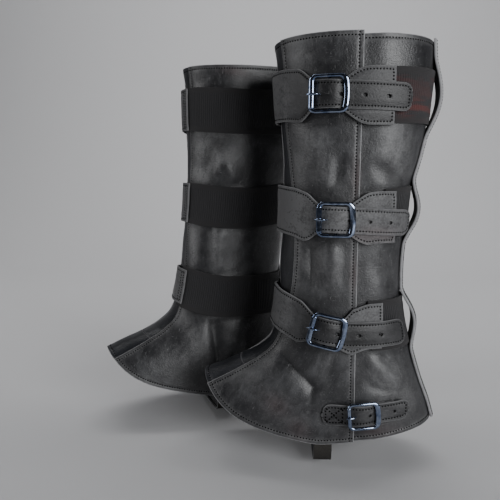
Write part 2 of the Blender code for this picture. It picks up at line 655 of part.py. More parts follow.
def belt_sets(cover):
    """The three wide belts."""
    for belt in belts():
        def line(forward, belt=belt):
            return strap_line(belt, forward)

        def shift(ahead, belt=belt):
            moved = ease((-ahead - FLARE_SHIFT[0]) / (FLARE_SHIFT[1] - FLARE_SHIFT[0]))
            return (belt["z_side"] - strap_line(belt, belt["bar"] + ahead)) * moved

        reach = belt["flare"] - belt["bar"]
        elastic(cover, belt)
        strap(cover, belt)
        buckle_tab(cover, belt["name"], belt["bar"], line, belt["slope"], belt["wide"], reach, shift)
        buckle(cover, belt["name"], BUCKLE, belt["bar"], line, belt["slope"])
        prong(cover, belt["name"], belt["bar"], line)


def hem_belt(cover):
    """The short belt across the closure near the hem."""
    belt = HEM_BELT

    def line(forward):
        return belt["z_bar"] + belt["slope"] * (forward - belt["bar"])

    across, along = grid(1, 18)
    forward = belt["front"] + (belt["tip"] - belt["front"]) * along
    width = belt["width"] - belt["narrow"] * (belt["front"] - forward)
    width = width * rounded(np.minimum(belt["front"] - forward, forward - belt["tip"]))
    profile = np.array(STRAP_PROFILE)
    ahead = forward - belt["bar"]
    rise = np.interp(ahead, profile[:, 0], profile[:, 1]) - HEM_SEAT * ease((ahead - 18.0) / 14.0)
    points = side_points(forward, line(forward) + (across - 0.5) * width, rise, cover)
    out = side_normal(forward[:1, :1], line(forward[:1, :1]), cover)[0, 0]
    sheet("hem_strap", "strap", cover, points, out, STRAP_LEATHER)
    buckle_tab(cover, "hem", belt["bar"], line, belt["slope"], HEM_FOLD, HEM_FOLD_END,
               lambda ahead: 0 * ahead)
    buckle(cover, "hem", HEM_BUCKLE, belt["bar"], line, belt["slope"])
    prong(cover, "hem", belt["bar"], line)


def stirrup(cover):
    """The strap under the arch, sewn inside both side panels."""
    forward = STIRRUP_FORWARD + STIRRUP_WIDTH * np.array([-0.5, 0.5])
    rise = np.full(2, -STIRRUP_GAP)
    top = side_points(forward, np.full(2, STIRRUP_TOP), rise, cover)[:, 1]
    half = side_points(forward, np.full(2, STIRRUP_LEAVES), rise, cover)[:, 1]
    steps = np.linspace(0, math.pi, 17)[:, None]
    exponent = 2.0 / STIRRUP_SQUARE
    outward = np.vstack([top, half * power(np.cos(steps), exponent), -top])
    down = STIRRUP_LEAVES - (STIRRUP_LEAVES - STIRRUP_BOTTOM) * power(np.sin(steps), exponent)
    up = np.vstack([[STIRRUP_TOP], down, [STIRRUP_TOP]]) + 0 * outward
    points = np.stack([forward + 0 * outward, outward, up], axis=-1)
    sheet("stirrup", "stirrup", cover, points, np.array([0.0, -1.0, 0.0]), STRAP_LEATHER)


def clear_scene():
    for old in list(bpy.data.objects):
        bpy.data.objects.remove(old, do_unlink=True)


def make_collection(name):
    made = bpy.data.collections.new(name)
    bpy.context.scene.collection.children.link(made)
    return made


def build_cover(cover):
    """One whole cover, hung on an empty at its ankle line."""
    empty = bpy.data.objects.new(f"{cover['name']}_cover", None)
    empty.location = (-cover["forward"] * MM, cover["aside"] * MM, 0.0)
    empty.rotation_euler.z = math.radians(cover["turn"])
    PARTS.objects.link(empty)
    cover = dict(cover, empty=empty)
    front_strips(cover)
    side_panels(cover)
    back_strip(cover)
    belt_sets(cover)
    hem_belt(cover)
    stirrup(cover)


clear_scene()
PARTS = make_collection("boot_covers")
for each_cover in COVERS:
    build_cover(each_cover)
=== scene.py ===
"""Looks of a pair of tall leather boot covers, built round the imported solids.

Every cover is drawn in its own millimetres: forward (towards the toe), outward (away from the other
foot) and up from the ground. A turn is in degrees from the toe over the outer side, and a place counts
the sections from the rim down. The sheets follow the same sections as the solids, with finer grids,
rounded cut edges, strap holes, sewn seams and small creases.
"""

import itertools
import math

import bmesh
import bpy
import numpy as np
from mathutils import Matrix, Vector, noise


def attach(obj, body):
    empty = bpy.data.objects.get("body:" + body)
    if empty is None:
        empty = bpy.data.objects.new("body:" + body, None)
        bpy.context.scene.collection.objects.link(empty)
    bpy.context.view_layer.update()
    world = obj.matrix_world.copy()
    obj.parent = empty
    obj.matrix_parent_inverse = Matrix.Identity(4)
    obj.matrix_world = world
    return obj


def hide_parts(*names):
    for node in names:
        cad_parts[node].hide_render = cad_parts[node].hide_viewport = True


MM = 0.001
ORIGIN_HEIGHT = 150.0

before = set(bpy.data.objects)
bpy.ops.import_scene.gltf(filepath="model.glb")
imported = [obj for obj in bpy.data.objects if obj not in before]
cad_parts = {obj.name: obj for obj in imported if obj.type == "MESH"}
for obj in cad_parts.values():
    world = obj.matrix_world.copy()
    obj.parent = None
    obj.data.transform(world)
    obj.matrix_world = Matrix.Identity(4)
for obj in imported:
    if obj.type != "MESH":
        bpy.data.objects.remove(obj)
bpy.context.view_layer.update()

# ---- the covers' form

COVERS = (
    {"name": "left", "mirror": 1, "forward": 0.0, "aside": 0.0, "turn": 0.0, "lean": 0.0, "step": 0.0,
     "rim": -0.5, "full": 0.0},
    {"name": "right", "mirror": -1, "forward": 132.0, "aside": 131.0, "turn": 22.8, "lean": 0.056,
     "step": 9.0, "rim": -1.5, "full": 3.0},
)
STRAIGHT = {"lean": 0.0, "step": 0.0, "rim": 0.0, "full": 0.0}

SECTION_COLUMNS = ("front", "back", "half", "z_front", "z_side", "z_back", "square", "strip", "inner")
SECTIONS = (
    (86, -65, 55, 420.5, 421, 422.5, 2.15, 25, 15),
    (82, -66, 55, 395.5, 396, 397, 2.15, 24, 13.5),
    (80, -63.5, 54, 369, 368, 369, 2.2, 22, 12),
    (78, -61, 52.5, 341, 340, 341, 2.2, 21.5, 10.5),
    (75.5, -54.5, 50.5, 310, 309, 309, 2.2, 23, 9.5),
    (75.2, -47.5, 48.5, 283, 282, 282, 2.2, 26.5, 9),
    (75, -45, 47.5, 257, 256, 257, 2.2, 29.5, 9),
    (76.5, -42.5, 47, 231, 230, 231, 2.2, 31, 9),
    (78.5, -41, 46.5, 204, 203, 204, 2.2, 31.5, 10),
    (78.5, -41.5, 47, 179, 177, 177, 2.25, 30, 12),
    (81, -45.5, 48, 152, 149, 148, 2.3, 26, 15),
    (89, -52, 49, 124, 122, 122, 2.35, 23, 18),
    (104, -57.5, 50, 110.5, 99, 103, 2.4, 22, 20),
    (120, -64, 51, 103, 76, 83, 2.5, 22, 21.5),
    (138, -71, 51.5, 95, 54, 65, 2.55, 22, 22),
    (159, -77, 52, 86.5, 29.5, 45.5, 2.6, 22, 22),
)
FRONT_RISE = ((0.55, 1.0), (0.45, 5.0))
BACK_RISE = 1.1
LEAN_FROM = (90.0, 210.0)
STEP_FROM = (80.0, 160.0)
RIM_RUN = 1.6
RIM_TILT = 2.0
CALF = (205.0, 48.0)

LEATHER = 2.2
STRAP_LEATHER = 2.0
FOLDED_LEATHER = 1.8
BACK_LEATHER = 2.6
WEBBING = 1.5
GAP = 0.6
LAP = 9.0
SEAM = 0.3
UNDER = -(LEATHER + GAP)
OVER = LEATHER + GAP + 0.1
STRIP_CROWN = 1.4
CROSS_SEAM = 13.0
CROSS_GAP = 0.012
CLOSURE = 6.0
REAR_DROP = 0.10
LEVEL_OUT = 24.0
BACK_STRIP = 12.0
BACK_ASIDE = 6.0

# Heights of the belt's line, widths of elastic, front tab and rear tab, where it starts and ends, the
# bow of the back loop, the strap's holes from its tip on, how much worn colour and painted highlight
# the strap gets, and how much darker it is painted from the buckle to its tip.
BELT_COLUMNS = ("name", "z_front", "z_side", "z_back", "z_strap", "band", "tab", "wide", "wrap", "bar",
                "flare", "tip", "loop", "loop_half", "slope", "droop", "hole", "pitch", "rubbed_and_highlit",
                "dirt")
BELTS = [dict(zip(BELT_COLUMNS, row)) for row in (
    ("upper", 370.0, 365.5, 368.0, 367.0, 50.0, 48.5, 51.5, 14.0, 34.4,
     -21.2, -34.5, 8.6, 40.0, 0.0, 0.04, 19.8, 19.8, 0.0, 0.5),
    ("middle", 260.5, 255.0, 260.0, 253.2, 48.5, 47.0, 49.5, 15.0, 27.0,
     -26.0, -38.0, 10.0, 35.5, 0.0, 0.06, 18.1, 17.8, 1.2, 0.0),
    ("lower", 160.5, 149.5, 149.0, 141.8, 49.0, 41.0, 44.0, 22.0, 32.9,
     -17.0, -36.0, 10.0, 34.0, 0.22, 0.0, 21.5, 19.5, 0.1, 0.3),
)]
LOOP_POWER = 2.0
ELASTIC_LAP = 10.0
ELASTIC_TUCK = 11.0
FRONT_TURN = 30.0
TAB_CLIMB = (18.5, 14.0)
STRAP_WIDTH = 25.0
TIP_ROUND = 6.8
STRAP_PROFILE = ((-95, 7.4), (-19, 7.5), (-13, 8), (-9, 9.1), (-5, 10.8), (0, 11.4), (5, 11), (9, 9.4),
                 (13, 7.6), (19, 5.4), (28, 3.3), (35, 2.9), (60, 2.9))
STRAP_TAPER = (10.0, 27.0)
LINE_TAPER = (18.0, 38.0)
SLOPE_FROM = 24.0
SLOPE_RUN = 16.0
TAB_OVER_ELASTIC = 5.1
FOLD_PROFILE = (
    (-22, 4.8, 22.6), (-13, 4.8, 22.6), (-5, 4.8, 22.6), (0, 4.8, 22.6), (1.4, 5.3, 22.6),
    (2, 6.8, 22.6), (1.4, 8.3, 22.6), (0, 8.8, 22.6), (-4, 8.1, 23), (-9, 6.3, 25), (-13, 5.3, 30),
    (-20, 5.2, 41), (-27, 5.2, 49), (-34, 5.2, 52), (-48, 5.2, 52), (-62, 5.2, 52),
)
FLARE_SHIFT = (12.0, 40.0)
TILT_FADES = (5.0, 24.0)

BUCKLE = {"length": 14.9, "height": 16.9, "front": 3.8, "rear": 4.6, "rail": 3.1, "bow": 1.7,
          "roller": 2.25}
HEM_BUCKLE = {"length": 14.5, "height": 13.4, "front": 3.4, "rear": 4.4, "rail": 2.8, "bow": 1.4,
              "roller": 1.9}
BAR_RISE = 6.8
END_RISE = 12.9
PRONG = 1.1
PRONG_PROFILE = ((6.8, 14.1), (9.5, 15.5), (12.9, 16.0), (15.8, 15.5))
HEM_BELT = {"front": 37.0, "tip": -44.0, "bar": -0.5, "z_bar": 63.4, "slope": -0.07, "width": 21.4,
            "narrow": 0.042}
HEM_FOLD = 18.4
HEM_FOLD_END = -30.0
HEM_SEAT = 0.35

STIRRUP_FORWARD = 36.0
STIRRUP_WIDTH = 18.0
STIRRUP_TOP = 47.0
STIRRUP_LEAVES = 30.0
STIRRUP_BOTTOM = 6.0
STIRRUP_SQUARE = 5.0
STIRRUP_GAP = 0.9

# Creases: side (1 outer, -1 inner), middle forward and up, slope from the vertical, half length, half
# width, depth.
FOLDS = (
    (1, 62, 101, 42, 30, 7, -2.3),
    (1, 43, 68, 5, 26, 7, -2.3),
    (1, 28, 104, -25, 20, 8, -1.4),
    (1, -22, 102, 50, 24, 7, 2.5),
    (1, -20, 84, 60, 22, 9, -1.2),
    (1, 49, 214, 0, 26, 6, -3),
    (1, 29, 208, -3, 26, 8, 2.5),
    (1, 45, 312, 20, 26, 9, 2),
    (1, 18, 304, -30, 26, 9, -2.5),
    (1, -30, 290, 58, 26, 8, -2.5),
    (1, -30, 194, 40, 26, 8, -2),
    (-1, 62, 318, -28, 26, 10, -4),
    (-1, 44, 306, 30, 22, 8, 3),
    (-1, 70, 210, 4, 30, 6, 2.5),
    (-1, 48, 208, 2, 30, 7, 2.5),
    (-1, 46, 96, 4, 30, 7, -3.5),
    (-1, 22, 94, -6, 28, 8, 2),
)
FINE_FOLDS = (
    (1, 64, 104, 46, 26, 2.6, -1.1),
    (1, 50, 90, 20, 18, 2.4, -1),
    (1, 44, 70, 2, 24, 2.4, -1.1),
    (1, 36, 112, -32, 16, 2.6, 0.8),
    (1, 14, 108, -52, 14, 3, -0.7),
    (1, -12, 96, 52, 20, 3, 0.8),
    (1, -26, 112, 44, 16, 2.6, -0.8),
    (1, 70, 86, 30, 16, 3.4, 0.6),
    (1, 51, 214, 2, 20, 2.4, -0.9),
    (1, 38, 206, -2, 22, 2.6, 0.7),
    (1, 22, 214, -8, 24, 2.2, 0.9),
    (1, 17, 206, -8, 22, 2.2, -0.6),
    (1, 60, 300, 14, 22, 3, -0.6),
    (1, 34, 296, -6, 20, 3, 0.6),
    (1, -36, 298, 60, 16, 3, 0.7),
    (1, -24, 204, 46, 18, 2.8, 0.7),
    (-1, 70, 330, -50, 16, 3, -1),
    (-1, 56, 300, -16, 20, 2.8, -1),
    (-1, 74, 212, 3, 24, 2.4, 0.8),
    (-1, 53, 208, 2, 26, 2.2, 0.9),
    (-1, 60, 210, 0, 24, 2.6, -0.8),
    (-1, 50, 98, 6, 26, 2.8, -1),
    (-1, 30, 96, -4, 22, 2.6, 0.7),
)
FOLD_CLEAR = 9.0
FOLD_FRONT = (26.0, 42.0)
FOLD_CLOSURE = (7.0, 20.0)
HEM_BELT_CLEAR = (-52.0, 42.0, 42.0, 78.0)


def ease(x):
    x = np.clip(x, 0.0, 1.0)
    return x * x * (3.0 - 2.0 * x)


def ease_in(x, span):
    return ease((x - span[0]) / (span[1] - span[0]))


def bell(x, middle, width):
    return np.exp(-((x - middle) / width) ** 2)


def power(x, exponent):
    return np.sign(x) * np.abs(x) ** exponent


def unit(vectors):
    return vectors / np.maximum(np.linalg.norm(vectors, axis=-1, keepdims=True), 1e-12)


SECTION = dict(zip(SECTION_COLUMNS, np.array(SECTIONS, float).T))
HEM = len(SECTIONS) - 1.0


def ramp_up(x):
    share = np.clip(x / SLOPE_RUN, 0.0, 1.0)
    return SLOPE_RUN * share ** 3 * (1 - share / 2) + np.clip(x - SLOPE_RUN, 0.0, None)


def section_value(name, place):
    values = SECTION[name]
    slopes = np.gradient(values)
    i = np.clip(np.floor(place).astype(int), 0, len(values) - 2)
    x = place - i
    return (values[i] * (1 + 2 * x) * (1 - x) ** 2 + slopes[i] * x * (1 - x) ** 2
            + values[i + 1] * x * x * (3 - 2 * x) + slopes[i + 1] * x * x * (x - 1))


def smooth_form(turn, place, pose):
    """Point of the smooth form."""
    cosine = np.cos(np.radians(turn))
    sine = np.sin(np.radians(turn))
    front = section_value("front", place)
    back = section_value("back", place)
    exponent = 2.0 / section_value("square", place)
    side = section_value("z_side", place)
    ahead = sum(share * np.clip(cosine, 0, 1) ** rise for share, rise in FRONT_RISE)
    up = (side + (section_value("z_front", place) - side) * ahead
          + (section_value("z_back", place) - side) * np.clip(-cosine, 0, 1) ** BACK_RISE)
    up = up + ease(1 - place / RIM_RUN) * (pose["rim"] + RIM_TILT * sine)
    forward = (front + back) / 2 + (front - back) / 2 * power(cosine, exponent)
    tipped = ease_in(up, LEAN_FROM) * (up - LEAN_FROM[0])
    filled = np.clip(-cosine, 0, 1) * bell(up, *CALF)
    forward = (forward - pose["lean"] * tipped + pose["step"] * ease_in(forward, STEP_FROM)
               - pose["full"] * filled)
    outward = section_value("half", place) * power(sine, exponent)
    return np.stack([forward, outward, up], axis=-1)


def normal(turn, place, pose):
    low, high = np.clip(place - 0.01, 0.0, HEM), np.clip(place + 0.01, 0.0, HEM)
    round_it = smooth_form(turn + 1.0, place, pose) - smooth_form(turn - 1.0, place, pose)
    down_it = smooth_form(turn, high, pose) - smooth_form(turn, low, pose)
    return unit(np.cross(down_it, round_it))


def laid(turn, place, rise, pose):
    """Point at a height over the smooth form."""
    return smooth_form(turn, place, pose) + np.asarray(rise)[..., None] * normal(turn, place, pose)


def turn_out(outward, place):
    sine = np.clip(outward / section_value("half", place), -1, 1)
    return np.degrees(np.arcsin(power(sine, section_value("square", place) / 2.0)))


def turn_forward(forward, place):
    front = section_value("front", place)
    back = section_value("back", place)
    cosine = np.clip((forward - (front + back) / 2) / ((front - back) / 2), -1, 1)
    return np.degrees(np.arccos(power(cosine, section_value("square", place) / 2.0)))


def place_at(turn, up, pose):
    low = np.zeros(np.broadcast(turn, up).shape)
    high = low + HEM
    for _ in range(26):
        middle = (low + high) / 2
        above = smooth_form(turn, middle, pose)[..., 2] > up
        low = np.where(above, middle, low)
        high = np.where(above, high, middle)
    return (low + high) / 2


def side_turn(forward, up, pose):
    """Turn and place of a point of the outer side."""
    turn = np.full(np.broadcast(forward, up).shape, 90.0)
    for _ in range(6):
        turn = turn_forward(forward, place_at(turn, up, pose))
    return turn, place_at(turn, up, pose)


def belt_line(belt, turn):
    cosine = np.cos(np.radians(turn))
    return (belt["z_side"] + (belt["z_front"] - belt["z_side"]) * np.clip(cosine, 0, 1) ** 2
            + (belt["z_back"] - belt["z_side"]) * np.clip(-cosine, 0, 1))


def beside_belt(belt, up, turn):
    """Distance from the edge of a belt's elastic."""
    return np.abs(up - belt_line(belt, turn)) - belt["band"] / 2


def strap_line(belt, forward):
    ahead = forward - belt["bar"]
    return (belt["z_strap"] + belt["slope"] * ramp_up(ahead + SLOPE_FROM)
            - belt["droop"] * np.clip(-ahead, 0.0, None))


def spots(table, turn, place, fade=2):
    """Sum of a table's long spots on the smooth form; fade is the power along them."""
    forward, outward, up = np.moveaxis(smooth_form(turn, place, STRAIGHT), -1, 0)
    total = np.zeros(forward.shape)
    for side, middle, height, tilt, half_length, half_width, amount in table:
        slope = math.radians(tilt)
        ahead, above = forward - middle, up - height
        along = above * math.cos(slope) + ahead * math.sin(slope)
        across = ahead * math.cos(slope) - above * math.sin(slope)
        shape = np.exp(-(along / half_length) ** fade - (across / half_width) ** 2)
        total = total + amount * shape * (outward * side > 0)
    return total


def folds(turn, place):
    """How far the creases lift the panels; nothing under belts and back strip."""
    forward, outward, up = np.moveaxis(smooth_form(turn, place, STRAIGHT), -1, 0)
    lift = spots(FOLDS + FINE_FOLDS, turn, place, 4)
    for belt in BELTS:
        lift = lift * ease(beside_belt(belt, up, turn) / FOLD_CLEAR)
    rear, ahead, low, high = HEM_BELT_CLEAR
    beside = np.maximum(np.maximum(rear - forward, forward - ahead), np.maximum(low - up, up - high))
    on_outer_side = ease(outward / FOLD_CLEAR)
    lift = lift * (1 - on_outer_side * (1 - ease(beside / FOLD_CLEAR)))
    lift = lift * ease_in(np.abs(outward), FOLD_FRONT)
    beside = ease_in(np.abs(forward - CLOSURE - LAP / 2), FOLD_CLOSURE)
    return lift * (1 - on_outer_side * (1 - beside))


def to_row(points, cover):
    """From a cover's own millimetres to the row frame in metres."""
    x, y = -points[..., 0], -cover["mirror"] * points[..., 1]
    angle = math.radians(cover["turn"])
    along = math.cos(angle) * x - math.sin(angle) * y - cover["forward"]
    aside = math.sin(angle) * x + math.cos(angle) * y + cover["aside"]
    return np.stack([along, aside, points[..., 2] - ORIGIN_HEIGHT], axis=-1) * MM


# ---- grids

STITCH_LINE = 4.2  # of a panel's stitches from its edge
EDGE_STEPS = (0.0, 0.5, 1.2, 2.4, 3.4, STITCH_LINE, 5.0, 6.4)
STITCH_COLUMN = EDGE_STEPS.index(STITCH_LINE)
STRAP_LINE = 3.0  # of a strap's stitches from its edge
STRAP_STEPS = (0.0, 0.5, 1.2, 2.2, STRAP_LINE, 3.8)
STRAP_COLUMN = STRAP_STEPS.index(STRAP_LINE)
TIP_STEPS = (0.0, 0.25, 0.7, 1.4, 2.2, STRAP_LINE, 4.0)
NO_STEPS = (0.0, 0.5, 1.5)
SECTION_RUN = 24.5  # about the length of one section's step


def lengths(points, axis=0):
    """Length run along a path, or along one axis of a grid of points."""
    steps = np.linalg.norm(np.diff(points, axis=axis), axis=-1)
    return np.concatenate([0 * np.take(steps, [0], axis=axis), np.cumsum(steps, axis=axis)], axis=axis)


def spaced(length, spacing, first, last):
    """Distances along a length: the given steps at both ends and even ones between."""
    inner = length - first[-1] - last[-1]
    count = max(2, round(inner / spacing))
    middle = first[-1] + inner * np.arange(1, count) / count
    return np.concatenate([first, middle, length - np.array(last)[::-1]])


def fit(wanted, first, last, length, squeeze=1.0):
    """Moves spaced distances to another length; the steps at its ends stay, or are squeezed."""
    inner = slice(len(first) - 1, len(wanted) - len(last) + 1)
    share = (wanted[inner] - first[-1]) / (wanted[-1] - first[-1] - last[-1])
    made = wanted.copy()
    made[inner] = squeeze * first[-1] + share * max(length - first[-1] - last[-1], 0.5)
    made[:len(first)] = squeeze * np.array(first)
    made[-len(last):] = length - squeeze * np.array(last)[::-1]
    return made


def by_length(start, end, place, pose, spacing, first, last):
    """Turns for each row, at even distances along it, with the given steps at both edges."""
    turns = start[:, None] + (end - start)[:, None] * np.linspace(0, 1, 161)
    run = lengths(smooth_form(turns, np.broadcast_to(place[:, None], turns.shape), pose), 1)
    wanted = spaced(float(np.mean(run[:, -1])), spacing, first, last)
    return np.array([np.interp(fit(wanted, first, last, row[-1]), row, row_turns)
                     for row, row_turns in zip(run, turns)])


def place_rows(start, end, steps=EDGE_STEPS):
    return start + spaced((end - start) * SECTION_RUN, 2.1, steps, steps) / SECTION_RUN


def across_steps(width, spacing=1.5):
    """Columns of a strap of varying width, as distances from its middle."""
    steps = STRAP_STEPS
    wanted = spaced(float(np.max(width)), spacing, steps, steps)
    return np.array([fit(wanted, steps, steps, w, min(1.0, (w - 0.5) / (2 * steps[-1]))) - w / 2
                     for w in width])


def soft_interp(x, known, values, soft=2.0):
    """A broken line with its corners rounded off."""
    shares = ((-1.0, 0.1), (-0.6, 0.2), (-0.2, 0.2), (0.2, 0.2), (0.6, 0.2), (1.0, 0.1))
    return sum(share * np.interp(x + offset * soft, known, values) for offset, share in shares)


# ---- meshes

def add(name, data):
    shape = bpy.data.objects.new(name, data)
    bpy.context.scene.collection.objects.link(shape)
    return shape


def new_mesh(name, vertices, faces):
    mesh = bpy.data.meshes.new(name)
    mesh.from_pydata(vertices, [], faces)
    mesh.polygons.foreach_set("use_smooth", np.ones(len(mesh.polygons), bool))
    return mesh


def dress(made, skins, *nodes):
    """Materials, body and replaced nodes of a piece."""
    for skin in skins:
        made.data.materials.append(skin.made)
    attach(made, "root")
    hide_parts(*nodes)


EDGE_ROUND = 0.45
EDGE_SHARE = 0.35  # of its thickness that a thin sheet's edge is rounded by at most
GRAIN_SHIFT = 0.37  # between the grain of one sheet and the next
SHEET_NUMBERS = itertools.count(1)


def boundary(faces):
    """Directed edges that have a face on one side only."""
    pairs = {(int(a), int(b)): True for face in faces for a, b in zip(face, np.roll(face, -1))}
    return [(a, b) for a, b in pairs if (b, a) not in pairs]


def flat_pattern(row):
    """Where a grid's points lie on the flat sheet, in metres; the third value tells sheets apart."""
    across = lengths(row, 1)
    across -= across[:, -1:] / 2
    along = np.broadcast_to(lengths(row).mean(axis=1)[:, None], across.shape)
    shift = np.full(across.shape, GRAIN_SHIFT * next(SHEET_NUMBERS))
    return np.stack([across, along, shift], axis=-1)


def shell(cover, node, points, thickness, skin, mask=None, falling=False, **looks):
    """A sheet of leather or webbing from a grid of points on its inner face.

    Falling says that the turns fall along its rows. Its cut edges are rounded, its outer face has
    material 0, the inner one 1, and the attributes flat (pattern coordinates), edge (1 on a cut edge,
    less on the outer face beside it, for a light cut edge with a painted highlight beside it) and any
    looks go with it. Returns the outer face's points and normals.
    """
    row = to_row(points, cover)
    shape = row.shape[:2]
    flip = (cover["mirror"] > 0) != falling
    out = unit(np.cross(np.gradient(row, axis=1), np.gradient(row, axis=0))).reshape(-1, 3)
    out = -out if flip else out
    index = np.arange(shape[0] * shape[1]).reshape(shape)
    quads = np.stack([index[:-1, :-1], index[:-1, 1:], index[1:, 1:], index[1:, :-1]], axis=-1)
    quads = (quads if mask is None else quads[mask]).reshape(-1, 4)
    if flip:
        quads = quads[:, ::-1]
    inner = row.reshape(-1, 3).copy()
    outer = inner + out * thickness * MM
    count = len(inner)

    edges = boundary(quads)
    rim = np.array(sorted({vertex for edge in edges for vertex in edge}))
    where = {int(vertex): i for i, vertex in enumerate(rim)}
    centre, number = np.zeros((count, 3)), np.zeros(count)
    middles = outer[quads].mean(axis=1)
    for corner in range(4):
        np.add.at(centre, quads[:, corner], middles)
        np.add.at(number, quads[:, corner], 1)
    inward = centre[rim] / number[rim][:, None] - outer[rim]
    inward = unit(inward - (inward * out[rim]).sum(axis=1, keepdims=True) * out[rim])
    bevel = min(EDGE_ROUND, thickness * EDGE_SHARE) * MM
    full = outer[rim].copy()
    outer[rim] = full + inward * bevel * 0.8
    ring_high = full - out[rim] * bevel * 0.8
    ring_low = full - out[rim] * (thickness * MM - bevel * 0.6)
    inner[rim] = inner[rim] + inward * bevel * 0.6
    vertices = np.concatenate([outer, inner, ring_high, ring_low])
    high = 2 * count
    low = high + len(rim)
    walls = []
    for a, b in edges:
        i, j = where[a], where[b]
        walls += [(b, a, high + i, high + j), (high + j, high + i, low + i, low + j),
                  (low + j, low + i, count + a, count + b)]
    faces = np.concatenate([quads, quads[:, ::-1] + count, np.array(walls)])
    slots = np.concatenate([np.zeros(len(quads)), np.ones(len(quads)), np.zeros(len(walls))])

    border = np.zeros(shape, bool)
    border[[0, -1]] = border[:, [0, -1]] = True
    cut = 1.0 * border.ravel()[rim]
    # Light cut walls, and a painted highlight on the outer face along the edges: 0.9 on its rim at the
    # sheet's border, 0.3 one row in from every side.
    edge = np.zeros(shape)
    edge[[1, -2]] = edge[:, [1, -2]] = 0.3
    edge = edge.ravel()
    edge[rim] = np.where(cut > 0, 0.9, edge[rim])
    attributes = {"edge": np.concatenate([edge, edge * 0, cut, cut])}
    for key, value in looks.items():
        value = np.broadcast_to(value, shape).ravel()
        attributes[key] = np.concatenate([value, value, value[rim], value[rim]])
    flat = flat_pattern(row).reshape(-1, 3)
    flat = np.concatenate([flat, flat, flat[rim], flat[rim]])

    used = np.zeros(len(vertices), bool)
    used[faces.ravel()] = True
    faces = (np.cumsum(used) - 1)[faces]
    side = cover["name"]
    name = f"{side}_{node}_{'webbing' if skin is ELASTIC else 'leather'}"
    mesh = new_mesh(name, vertices[used].tolist(), faces.tolist())
    for key, value in attributes.items():
        made = mesh.attributes.new(key, "FLOAT", "POINT")
        made.data.foreach_set("value", value[used].astype(np.float32))
    made = mesh.attributes.new("flat", "FLOAT_VECTOR", "POINT")
    made.data.foreach_set("vector", flat[used].astype(np.float32).ravel())
    mesh.polygons.foreach_set("material_index", slots.astype(np.int32))
    mesh.update()
    made = add(name, mesh)
    dress(made, (skin, ELASTIC if skin is ELASTIC else FLESH), f"{side}_{node}")
    return outer.reshape(row.shape), out.reshape(row.shape)


# ---- stitches

THREAD = 0.95  # half the thread's thickness
STITCH = 2.1
STITCH_GAP = 0.85
STITCH_SUNK = 0.15
SHORTEST = 0.5
SLANT = 0.38
SIDES = 6
RINGS = ((-1.0, 0.4), (-0.55, 0.96), (0.55, 0.96), (1.0, 0.4))


def tube_faces(index, closed=False):
    """Faces of a tube whose rings are the rows of index, with capped ends unless it closes."""
    base, following = (index, np.roll(index, -1, axis=0)) if closed else (index[:-1], index[1:])
    quads = np.stack([base, np.roll(base, -1, axis=1), np.roll(following, -1, axis=1), following],
                     axis=-1).reshape(-1, 4).tolist()
    return quads if closed else quads + [index[0][::-1].tolist(), index[-1].tolist()]


def stitch(cover, points, normals):
    """One stitch after the other along a path on the leather's face."""
    points = points / MM
    keep = np.concatenate([[True], np.linalg.norm(np.diff(points, axis=0), axis=1) > 1e-4])
    points, normals = points[keep], normals[keep]
    run = lengths(points)
    number = max(1, int(run[-1] / (STITCH + STITCH_GAP)))
    pitch = run[-1] / number
    half = (pitch - STITCH_GAP) / 2
    middle = (np.arange(number) + 0.5) * pitch

    def at(distance, values):
        return np.stack([np.interp(distance, run, value) for value in values.T], axis=-1)

    along = at(middle + half, points) - at(middle - half, points)
    kept = np.linalg.norm(along, axis=-1) >= SHORTEST
    centre, along, up = at(middle, points)[kept], unit(along[kept]), at(middle, normals)[kept]
    up = unit(up - along * (up * along).sum(axis=-1, keepdims=True))
    side = np.cross(up, along)
    along, side = (along * math.cos(SLANT) + side * math.sin(SLANT),
                   side * math.cos(SLANT) - along * math.sin(SLANT))
    centre, along, side, up = (vector[:, None, None] for vector in (centre, along, side, up))
    reach, size = np.array(RINGS).T[..., None, None]
    arch = -STITCH_SUNK - 0.55 * np.abs(reach) ** 3 * THREAD
    angle = 2 * math.pi * (np.arange(SIDES)[:, None] + 0.5) / SIDES
    offset = side * np.cos(angle) + up * np.sin(angle) * 0.8
    cover["stitches"].append((centre + along * reach * half + offset * size * THREAD
                              + up * arch).reshape(-1, 3))


def sew(cover, faces, *lines):
    """Stitches along lines of a sheet's grid, joined end to end."""
    stitch(cover, *(np.concatenate([grid[line] for line in lines]) for grid in faces))


def stitches(cover):
    """All stitches of a cover, as one piece."""
    index = np.arange(len(RINGS) * SIDES).reshape(-1, SIDES)
    pattern, last = tube_faces(index)[:-2], index[-1, 0]
    for i in range(1, SIDES - 1, 2):
        pattern += [(0, i + 1, i), (last, last + i, last + i + 1)]
    vertices = np.concatenate(cover["stitches"]) * MM
    faces = [[start + int(vertex) for vertex in face] for start in range(0, len(vertices), index.size)
             for face in pattern]
    name = f"{cover['name']}_stitches"
    made = add(name, new_mesh(name, vertices.tolist(), faces))
    made.data.materials.append(THREAD_BLACK.made)
    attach(made, "root")


# ---- materials

